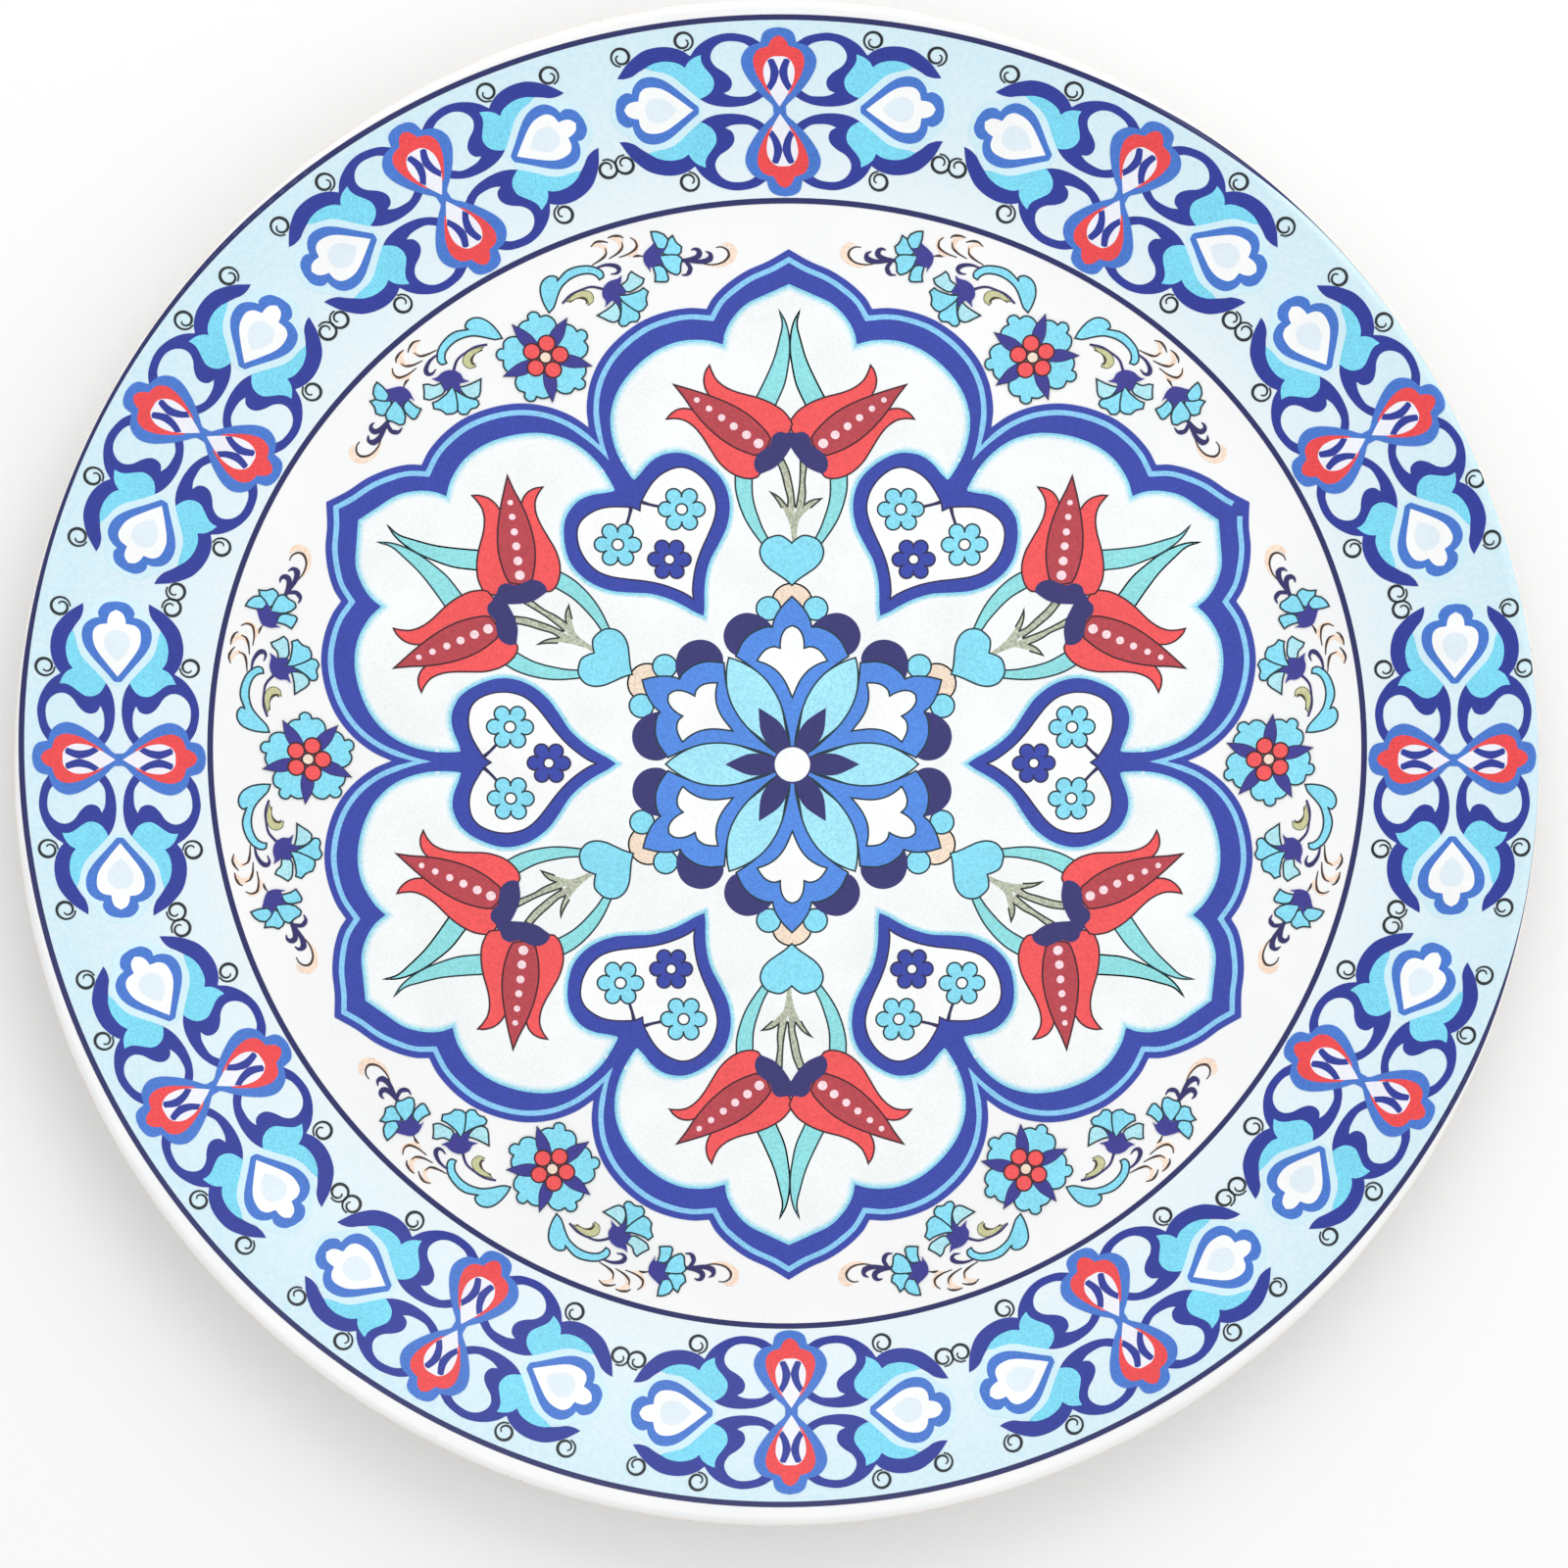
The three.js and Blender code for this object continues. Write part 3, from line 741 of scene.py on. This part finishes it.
loop_leaf = outline(
    [(10.7, 58.2), (10.7, 55), (10.1, 52), (9.0, 49), (7.6, 46.5), (5.6, 43.7)], [(4.6, 45.0)],
    [(5.6, 47), (6.4, 49.2), (7.1, 51.5), (7.5, 54), (7.5, 58.2)], [(10.7, 58.2)])
small_heart = both_sides(
    [(0, 44.0), (0.9, 44.8), (2.2, 45.5), (3.7, 45.3), (5.2, 44.5), (6.1, 42.7), (5.8, 40.8), (4.6, 39.2),
     (3, 38.0), (1.3, 36.8), (0, 35.6)])
seeds = [(6.2, 63.8, 0.95), (8.5, 65.5, 0.86), (10.9, 67.2, 0.78), (13.2, 68.9, 0.7), (15.6, 70.7, 0.63),
         (17.9, 72.4, 0.55)]
spray_films = []
for side in (1, -1):
    spray_films += drawn(TURQUOISE, DARK_TEAL, flipped(upper_leaf, side))
spray_films += drawn(TURQUOISE, DARK_TEAL, *pair(loop_leaf))
spray_films += drawn(OLIVE_GREY, GREEN_BLACK, forked_stem)
spray_films += drawn(SKY_BLUE, DARK_TEAL, small_heart)
for side in (1, -1):
    spray_films += drawn(TULIP_RED, OXBLOOD, flipped(tulip, side))
spray_films += drawn(MAROON, OXBLOOD, *pair(tulip_heart))
spray_films.append((SEED_PINK, *[circle(r, x * side, y, 14) for x, y, r in seeds for side in (1, -1)]))
spray_films.append((INDIGO, calyx))
spray = decal(spray_films)
for i in range(LOBES):
    fired(f"tulips_{i + 1}", spray, -SIXTH * i, f"tulip_spray_{i + 1}")

# --- Centre rosette ---
# Six light blue petals and six royal blue trefoils round a white eye, with indigo lobes,
# sky-blue beads and a cream bead at each outer point.

ROYAL_BLUE = enamel("royal_blue_enamel", "#4f8ae4")
PETAL_BLUE = enamel("petal_blue_enamel", "#a4e8fa")
CREAM = enamel("cream_enamel", "#f4dfca")
BROWN = enamel("brown_pen", "#3f2a20")
trefoil = both_sides(
    [(0, 33.4), (1.5, 31.9), (2.7, 30.3), (3.45, 28.8), (3.8, 27.3)],
    [(5.0, 27.3), (6.7, 26.7), (8.3, 25.7), (9.6, 24.2), (10.4, 22.6), (10.9, 21.5)],
    [(8.3, 19.7), (5.4, 17.2), (3.4, 14.4), (2.1, 11.5), (1.2, 8.2), (0.6, 5.2), (0.5, 3.0)], [(0, 3.0)])
trefoil_eye = both_sides(
    [(0, 27.6), (1.2, 27.0), (2.0, 25.7), (2.3, 24.2), (2.3, 23.1)],
    [(3.6, 23.4), (5.0, 22.9), (6.0, 21.9), (6.8, 20.6)],
    [(4.9, 19.9), (3.0, 18.6), (1.4, 16.5), (0, 13.3)])
petal = both_sides(
    [(0, 24.5), (1.3, 23.0), (2.9, 20.4), (4.1, 17.3), (4.4, 14.2), (3.9, 10.8), (2.5, 6.9), (1.2, 3.0)],
    [(0, 3.0)])
dark_petal = both_sides([(0, 13.0), (1.0, 11.1), (1.95, 8.9), (2.2, 7.0), (1.9, 5.2), (1.3, 3.2)], [(0, 3.0)])
indigo_lobe = outline(
    [(3.7, 27.4), (5.4, 29.1), (7.2, 29.9), (9.1, 30.1), (11.0, 29.4), (12.5, 27.9), (13.2, 26.0),
     (13.0, 24.1), (12.1, 22.5), (10.8, 21.6)], [(6.5, 22.5)], [(3.7, 27.4)])
axes = [SIXTH * i for i in range(LOBES)]
between = [SIXTH * (i + 0.5) for i in range(LOBES)]
bead = circle(2.35, 4.55, 31.0)
rosette_films = drawn(CREAM, BROWN, *[turned(circle(3.8, 0, 32.5, 28, 0.92), a) for a in axes])
rosette_films += drawn(SKY_BLUE, DARK_TEAL, *[turned(side, a) for a in axes for side in pair(bead)])
rosette_films.append((INDIGO, *[turned(side, a) for a in axes for side in pair(indigo_lobe)]))
rosette_films += drawn(PETAL_BLUE, DARK_TEAL, *[turned(petal, a) for a in between])
rosette_films += drawn(ROYAL_BLUE, DARK_TEAL, *[turned(trefoil, a) for a in axes])
rosette_films += drawn(WHITE, DARK_TEAL, *[turned(trefoil_eye, a) for a in axes])
rosette_films.append((INDIGO, *[turned(dark_petal, a) for a in between]))
rosette_films += drawn(WHITE, INDIGO, circle(3.6, points=32))
fired("rosette", decal(rosette_films), 0.0, "centre_rosette")

# --- Flower sprigs ---
# Over each heart, outside the medallion, a five-petalled rose with a garland of curling
# leaves and two carnations on each side, ending in light brown tendrils.

OLIVE = enamel("olive_enamel", "#c9ca9a")
OLIVE_PEN = enamel("olive_pen", "#5a5a2c")
PALE_CYAN = enamel("pale_cyan_enamel", "#b0e6f0")
TAN = enamel("tan_enamel", "#fbe0cb")
DEEP_COBALT = enamel("deep_cobalt_enamel", "#36348f")
BLUE_BLACK = enamel("blue_black_enamel", "#2a2363")
RIM_CELL = 1.3  # squares this wide bend smoothly over the hollow curve and the lip
FINE_PEN = 0.08
ROSE_CENTRE = (0.0, 93.1)
PETAL_TURN = math.radians(2)
SEPAL_TURN = math.radians(33)
FIFTH = 2 * math.pi / 5
rose_petal = outline(
    [(3.0, 1.2), (4.3, 3.0), (5.6, 3.7), (7.0, 3.4), (7.8, 2.4), (7.9, 1.2)],
    [(8.8, 1.1), (9.3, 0.2), (8.9, -0.8), (8.0, -1.1)],
    [(8.0, -2.4), (7.0, -3.4), (5.6, -3.6), (4.3, -2.9), (3.0, -1.2)], [(3.0, 1.2)])
rose_sepal = outline(
    [(3.0, 1.0), (4.6, 1.3), (6.4, 1.0), (8.9, -0.2)], [(6.8, -0.9), (5.0, -1.2), (3.0, -1.0)], [(3.0, 1.0)])
curled_leaf = outline(
    [(5.2, 100.4), (5.2, 102), (5.6, 104), (6.5, 105.6), (7.8, 106.4), (9.2, 106.4), (10.1, 105.7),
     (9.9, 105.0)],
    [(12.3, 105.75), (14.5, 105.5), (16.8, 104.4), (18.1, 102.7), (17.9, 101.5), (16.9, 101.3)],
    [(16.7, 102.3), (15.8, 103.3), (14, 104.0), (12, 104.1), (10, 103.6), (8.5, 102.6), (7.3, 101.5)],
    [(6.4, 100.8), (5.2, 100.4)])
olive_leaf = outline(
    [(9.2, 100.6), (11, 101.2), (12.8, 101.1), (14.0, 100.2), (14.2, 99.2), (13.6, 98.2), (12.4, 98.0)],
    [(12.8, 98.8), (12.6, 99.7), (11.6, 100.2), (10.3, 100.3), (9.2, 100.6)])
carnation_petals = [
    (PALE_CYAN, [(19.9, 98.4), (21.3, 98.6), (22.2, 99.4), (23.0, 99.7)], [(23.5, 98.6), (24.3, 97.3)],
     [(23.5, 96.6), (22.2, 96.4), (20.8, 96.4), (20.0, 96.8)], [(19.9, 98.4)]),
    (SKY_BLUE, [(18.4, 96.9), (20, 96.1), (22.2, 95.7), (23.3, 95.8)], [(23.7, 94.7)],
     [(22.7, 93.8), (22.2, 92.6)], [(21.0, 92.1), (20.0, 92.2)], [(19.2, 93.6), (18.5, 95.4), (18.4, 96.9)]),
    (SKY_BLUE, [(18.3, 95.9), (19.2, 93.6), (20.0, 92.1)], [(19.7, 91.2), (18.8, 90.7)],
     [(17.6, 91.2), (16.6, 91.0), (15.8, 91.3)], [(15.7, 92.2), (16.7, 93.2), (17.6, 94.5), (18.3, 95.9)]),
    (PALE_CYAN, [(17.3, 96.0), (16.3, 95.7), (15, 95.5), (12.9, 95.4)], [(13.7, 94.2), (14.2, 93.4)],
     [(15, 92.7), (16, 92.7)], [(16.9, 93.6), (17.3, 94.8), (17.3, 96.0)]),
    (SKY_BLUE, [(29.7, 101.2), (29.9, 103.0), (30.4, 104.4)], [(31.4, 103.8), (32.2, 102.8)],
     [(32.3, 101.5), (31.6, 100.7), (30.6, 100.5), (29.7, 101.2)]),
    (SKY_BLUE, [(30.0, 100.0), (31.4, 100.7), (32.4, 101.6)], [(33.5, 101.8)], [(33.4, 100.4), (33.8, 99.2)],
     [(33.0, 98.3), (32.0, 98.2)], [(30.6, 99.1), (30.0, 100.0)]),
    (SKY_BLUE, [(29.2, 99.8), (31.2, 98.9), (32.3, 98.2)], [(32.6, 97.1), (31.8, 96.2), (31.1, 95.1)],
     [(30.2, 94.9), (29.3, 95.9)], [(28.9, 97.4), (29.2, 99.8)]),
    (SKY_BLUE, [(27.1, 98.6), (28.4, 98.0), (28.8, 96.8), (28.4, 95.0)], [(27.8, 94.7), (26.8, 95.2)],
     [(25.9, 95.8)], [(26.6, 96.9), (27.1, 98.6)]),
]
carnation_calyxes = [
    outline([(16.3, 99.3), (17.3, 99.9), (18.6, 100.1), (20.0, 99.8), (21.0, 100.0)],
            [(20.3, 99.0), (19.8, 98.4), (20.1, 97.3), (19.7, 96.4)],
            [(18.6, 96.9), (18.3, 95.9), (17.5, 94.8)],
            [(17.2, 95.9), (16.8, 96.6)], [(15.0, 96.1)], [(15.7, 97.0), (15.7, 98.2), (16.3, 99.3)]),
    outline([(26.1, 98.3), (26.0, 99.9), (26.6, 101.3), (27.9, 101.9), (29.2, 102.2), (30.0, 102.6)],
            [(29.4, 101.2)], [(31.0, 100.4)], [(29.6, 99.8)], [(28.9, 98.6), (29.1, 97.6)],
            [(28.0, 98.5), (27.2, 98.3)], [(26.5, 98.7)], [(26.1, 97.8)], [(26.1, 98.3)]),
]
stem_strokes = [
    brush([(8.3, 100.7), (10.5, 101.4), (12.8, 101.3), (14.9, 100.8), (16.7, 99.2)], 0.45, 0.4, 0.55),
    brush([(17.4, 103.6), (19.4, 103.2), (20.9, 102.2), (21.2, 101.2), (20.4, 100.8), (19.3, 101.2)],
          0.3, 1.0, 0.2),
    brush([(32.2, 96.9), (34.2, 96.2), (35.7, 96.1), (36.2, 96.9), (35.8, 97.6), (35.0, 97.8)],
          0.7, 1.15, 0.2),
    brush([(33.6, 96.1), (35.6, 94.8), (37.2, 94.5), (37.8, 95.3), (37.3, 96.2)], 0.7, 1.2, 0.2),
    brush([(33.0, 96.6), (33.1, 94.9), (32.5, 94.2), (31.8, 94.0), (30.9, 94.4)], 0.7, 0.95, 0.2),
]
tendrils = [
    [(9.6, 100.2), (11.2, 100.3), (12.3, 99.7), (12.6, 98.9), (12.2, 98.4)],
    [(17.2, 104.4), (19.2, 104.5), (20.6, 104.9), (21.2, 106.0)],
    [(18.9, 107.5), (20.2, 107.8), (21.4, 107.3), (22.2, 106.6)],
    [(20.6, 103.9), (22.6, 104.0), (24.0, 104.5), (24.5, 105.4)],
    [(22.6, 107.4), (23.7, 107.2), (24.8, 106.6), (25.2, 105.9)],
    [(22.4, 103.2), (24.5, 102.9), (26.3, 103.2), (26.8, 104.3), (26.4, 105.4)],
    [(24.8, 102.0), (25.6, 101.8), (26.5, 101.2)],
    [(35.3, 94.6), (37.0, 93.3), (39.0, 92.7), (40.6, 93.2), (41.0, 94.3), (40.4, 95.4), (39.4, 95.9)],
]
tan_shadows = [
    outline([(19.0, 104.4), (20.6, 104.8), (21.5, 106.2), (20.0, 107.6), (18.9, 107.5)],
            [(20.4, 106.6), (20.6, 105.4), (19.0, 104.4)]),
    outline([(22.4, 104.0), (24.2, 104.5), (24.8, 105.8), (23.7, 107.1), (22.6, 107.4)],
            [(23.6, 106.0), (23.6, 105.0), (22.4, 104.0)]),
    outline([(24.8, 102.0), (26.5, 102.7), (27.3, 104.2), (26.4, 105.6)],
            [(26.6, 104.2), (25.6, 103.1), (23.6, 102.9)],
            [(24.8, 102.0)]),
    outline([(35.6, 94.0), (38.0, 92.1), (40.6, 91.8), (42.2, 92.7), (42.6, 94.2), (41.9, 95.6),
             (40.6, 95.9)],
            [(41.4, 94.4), (40.8, 93.0), (39.0, 92.5), (37.0, 93.1), (35.6, 94.0)]),
]
sprig_films = [
    (TAN, *[side for shape in tan_shadows for side in pair(shape)]),
    (BROWN, *[side for points in tendrils for side in pair(brush(points, 0.2, 0.5, 0.2))]),
    *drawn(OLIVE, OLIVE_PEN, *pair(olive_leaf), pen=FINE_PEN),
    *drawn(SKY_BLUE, DARK_TEAL, *pair(curled_leaf)),
]
sprig_films += [(BLUE_BLACK, *pair(shape)) for shape in stem_strokes]
for colour, *runs in carnation_petals:
    sprig_films += drawn(colour, DARK_TEAL, *pair(outline(*runs)))
sprig_films.append((DEEP_COBALT, *[side for shape in carnation_calyxes for side in pair(shape)]))
fifths = [FIFTH * i for i in range(5)]
# Neighbours overlap, so they are laid in turns: the first and third, the second and fourth, the last.
rose_turns = (fifths[0::2][:2], fifths[1::2], fifths[4:])
for group in rose_turns:
    sprig_films += drawn(SKY_BLUE, DARK_TEAL,
                         *[moved(turned(rose_petal, a + PETAL_TURN), *ROSE_CENTRE) for a in group])
sepals = [moved(turned(rose_sepal, a + SEPAL_TURN), *ROSE_CENTRE) for a in fifths]
sprig_films += drawn(DEEP_COBALT, DARK_BLUE, *sepals, pen=FINE_PEN)
for group in rose_turns:
    discs = [circle(1.6, 2.8 * math.sin(a), ROSE_CENTRE[1] - 2.8 * math.cos(a), 18) for a in group]
    sprig_films += drawn(TULIP_RED, OXBLOOD, *discs)
sprig_films += drawn(CREAM, OXBLOOD, circle(1.15, *ROSE_CENTRE, 16))
sprig = decal(sprig_films, RIM_CELL)
for i in range(LOBES):
    fired(f"sprig_{i + 1}", sprig, -SIXTH * (i + 0.5), f"flower_sprig_{i + 1}")

# --- Rim motifs ---
# Twelve copies of one motif round the rim: two crossed red and blue bulbs, cobalt
# scrolls, a royal blue bud with sky-blue sepals on each side, and thin black curls.

MOTIFS = 12
CROSSING = 128.8  # how far out the two bulbs cross
ABOVE_WASH = 10  # film number that clears the wash where it rounds the lip
HALO = enamel("pale_halo_enamel", "#d3f0fa", contrast=0.04)
EYE_WHITE = enamel("pink_white_enamel", "#f1f2fb", contrast=0.04)
BUD_GREY = enamel("grey_blue_enamel", "#e3f0f8", contrast=0.04)
RIM_RED = enamel("rim_red_enamel", "#ee4447")
RIM_COBALT = enamel("rim_cobalt_enamel", "#1f3197")
RIM_ROYAL = enamel("rim_royal_enamel", "#4076cf")
RIM_SKY = enamel("rim_sky_enamel", "#7bdaf4")
INK_BLACK = enamel("black_pen", "#0c1a20")


def curl(x, y, way):
    """A thin pen curl of one and a third turns that tightens to a small hook."""
    steps = 30
    line = []
    for i in range(steps + 1):
        t = i / steps
        a = -math.pi / 2 + way * 1.35 * 2 * math.pi * t
        r = 1.85 - 0.35 * t - 0.95 * t ** 4
        line.append((x + r * math.cos(a), y + r * math.sin(a)))
    return brush(line[::2], 0.3, 0.6, 0.25)


bulb = both_sides(
    [(0, 16.3), (1.7, 16.0), (2.9, 15.1), (3.4, 13.3)],
    [(5.3, 12.7), (6.6, 11.4), (7.15, 9.7), (6.75, 7.8), (5.7, 5.9), (4.3, 4.0), (2.8, 2.4), (1.35, 1.0),
     (1.2, 0)],
    [(0, -0.6)])
bulb_red = both_sides(
    [(0, 14.7), (1.0, 14.2), (1.7, 13.2), (1.9, 12.6)],
    [(3.7, 12.0), (4.6, 10.9), (4.85, 9.4), (4.3, 7.2), (3.2, 5.1), (2.1, 3.4), (1.4, 2.9)], [(0, 2.9)])
bulb_eye = both_sides(
    [(0, 10.6), (1.2, 10.5), (2.2, 9.8), (2.85, 8.5), (2.95, 7.2), (2.7, 5.7), (2.2, 4.4), (1.6, 3.2),
     (0.8, 1.9), (0, 0.7)])
eye_crescent = outline(
    [(1.0, 10.1), (0.45, 9.0), (0.05, 7.8), (0.05, 7.1), (0.25, 6.3), (0.65, 5.3), (1.2, 4.4), (1.7, 3.7)],
    [(2.4, 4.7)],
    [(1.9, 5.7), (1.65, 6.9), (1.65, 8.0), (1.9, 9.0), (2.15, 9.7)], [(1.7, 10.1)], [(1.0, 10.1)])
scroll = outline(
    [(3.3, 13.2), (5.2, 14.4), (7.4, 15.0), (9.7, 15.15), (12.1, 14.6), (14.2, 13.5), (15.7, 12.2),
     (16.8, 10.6)],
    [(17.4, 9.6), (17.8, 8.4)], [(17.2, 8.2), (15.2, 2.3)],
    [(13.9, 1.5), (12.1, 0.9), (9.9, 0.65), (7.9, 0.75), (6.1, 1.1), (4.2, 1.9), (2.9, 2.8)], [(3.7, 4.2)],
    [(5.6, 2.9), (7.4, 2.65), (9.2, 2.8), (10.55, 3.35)],
    [(9.4, 4.0), (8.95, 5.2), (9.3, 6.4), (10.4, 7.5), (11.9, 8.5), (12.8, 9.8), (12.8, 11.2), (11.9, 12.6),
     (10.4, 13.45), (8.6, 13.6), (6.7, 13.25), (5.4, 12.5)], [(3.3, 13.2)])
sepal = outline(
    [(14.75, 10.9), (16.2, 10.25), (17.2, 9.4), (17.8, 8.35)],
    [(18.9, 9.1), (20.4, 9.5), (22.1, 9.55), (23.9, 9.1), (25.4, 8.25)],
    [(23.6, 7.7), (21.6, 7.25), (19.9, 6.4), (18.3, 5.0), (16.9, 3.7), (15.15, 2.2)],
    [(14.0, 2.75), (12.95, 3.6), (12.4, 4.8), (12.45, 6.1), (13.2, 7.3), (14.2, 8.6), (14.7, 9.7),
     (14.75, 10.9)])
crescent = outline(
    [(16.7, 10.6), (18.1, 11.6), (19.9, 12.25), (21.7, 12.45), (23.7, 12.25), (25.7, 11.6), (27.4, 10.4),
     (28.9, 8.9), (30.0, 7.3), (30.7, 6.15)],
    [(29.4, 6.15), (27.9, 6.6), (26.7, 7.45), (25.4, 8.25), (23.9, 9.1), (22.1, 9.55), (20.4, 9.5),
     (18.9, 9.1), (17.8, 8.35)], [(16.7, 10.6)])


def top_and_bottom(*runs):
    """A closed outline from the upper half that runs from the axis y = 0 back to it."""
    return [(y, x) for x, y in both_sides(*[[(y, x) for x, y in run] for run in runs])]


halo = top_and_bottom(
    [(14.6, 0), (15.2, 2.2), (16.9, 3.7), (18.3, 5.0), (19.9, 6.4), (21.6, 7.25), (23.6, 7.7), (25.7, 7.6),
     (27.4, 6.7), (28.9, 5.3), (30.9, 3.9), (32.0, 1.9), (32.2, 0)])
bud = top_and_bottom(
    [(15.3, 0), (15.4, 0.7)],
    [(16.7, 1.75), (18.15, 3.0), (19.65, 4.3), (21.15, 5.45), (22.7, 6.25), (24.4, 6.55), (26.0, 6.25),
     (27.1, 5.4), (27.8, 4.2), (28.0, 3.2)], [(29.0, 3.4), (30.1, 2.85), (30.9, 1.8), (31.2, 0)])
bud_white = top_and_bottom(
    [(16.4, 0), (18.1, 1.35), (19.7, 2.55), (21.2, 3.6), (22.7, 4.3), (24.3, 4.5), (25.6, 4.25), (26.5, 3.3),
     (26.8, 1.75)], [(27.9, 1.6), (28.9, 1.1), (29.55, 0)])
bud_blob = top_and_bottom([(19.4, 0), (20.8, 1.5), (22.6, 2.4), (24.3, 2.2), (25.3, 1.2), (25.5, 0)])
corners = [(x, y) for x in (1, -1) for y in (1, -1)]
motif_films = [(HALO, *pair(halo))]
for colour, shape in ((RIM_COBALT, scroll), (RIM_COBALT, crescent), (RIM_SKY, sepal),
                      (INK_BLACK, curl(18.0, 13.55, -1)), (INK_BLACK, curl(29.95, 10.4, 1))):
    motif_films.append((colour, *[flipped(shape, *corner) for corner in corners]))
motif_films += [(RIM_ROYAL, *pair(bud)), (WHITE, *pair(bud_white)), (BUD_GREY, *pair(bud_blob))]
motif_films += [(RIM_ROYAL, bulb), (RIM_ROYAL, flipped(bulb, 1, -1))]
for colour, shape in ((RIM_RED, bulb_red), (EYE_WHITE, bulb_eye)):
    motif_films.append((colour, shape, flipped(shape, 1, -1)))
motif_films.append((RIM_COBALT, *[flipped(eye_crescent, *corner) for corner in corners]))
placed = [(colour, *[moved(shape, 0, CROSSING) for shape in shapes]) for colour, *shapes in motif_films]
motif = decal(placed, RIM_CELL, first=ABOVE_WASH)
for i in range(MOTIFS):
    fired(f"motif_{i + 1}", motif, -2 * math.pi * i / MOTIFS, f"rim_motif_{i + 1}")
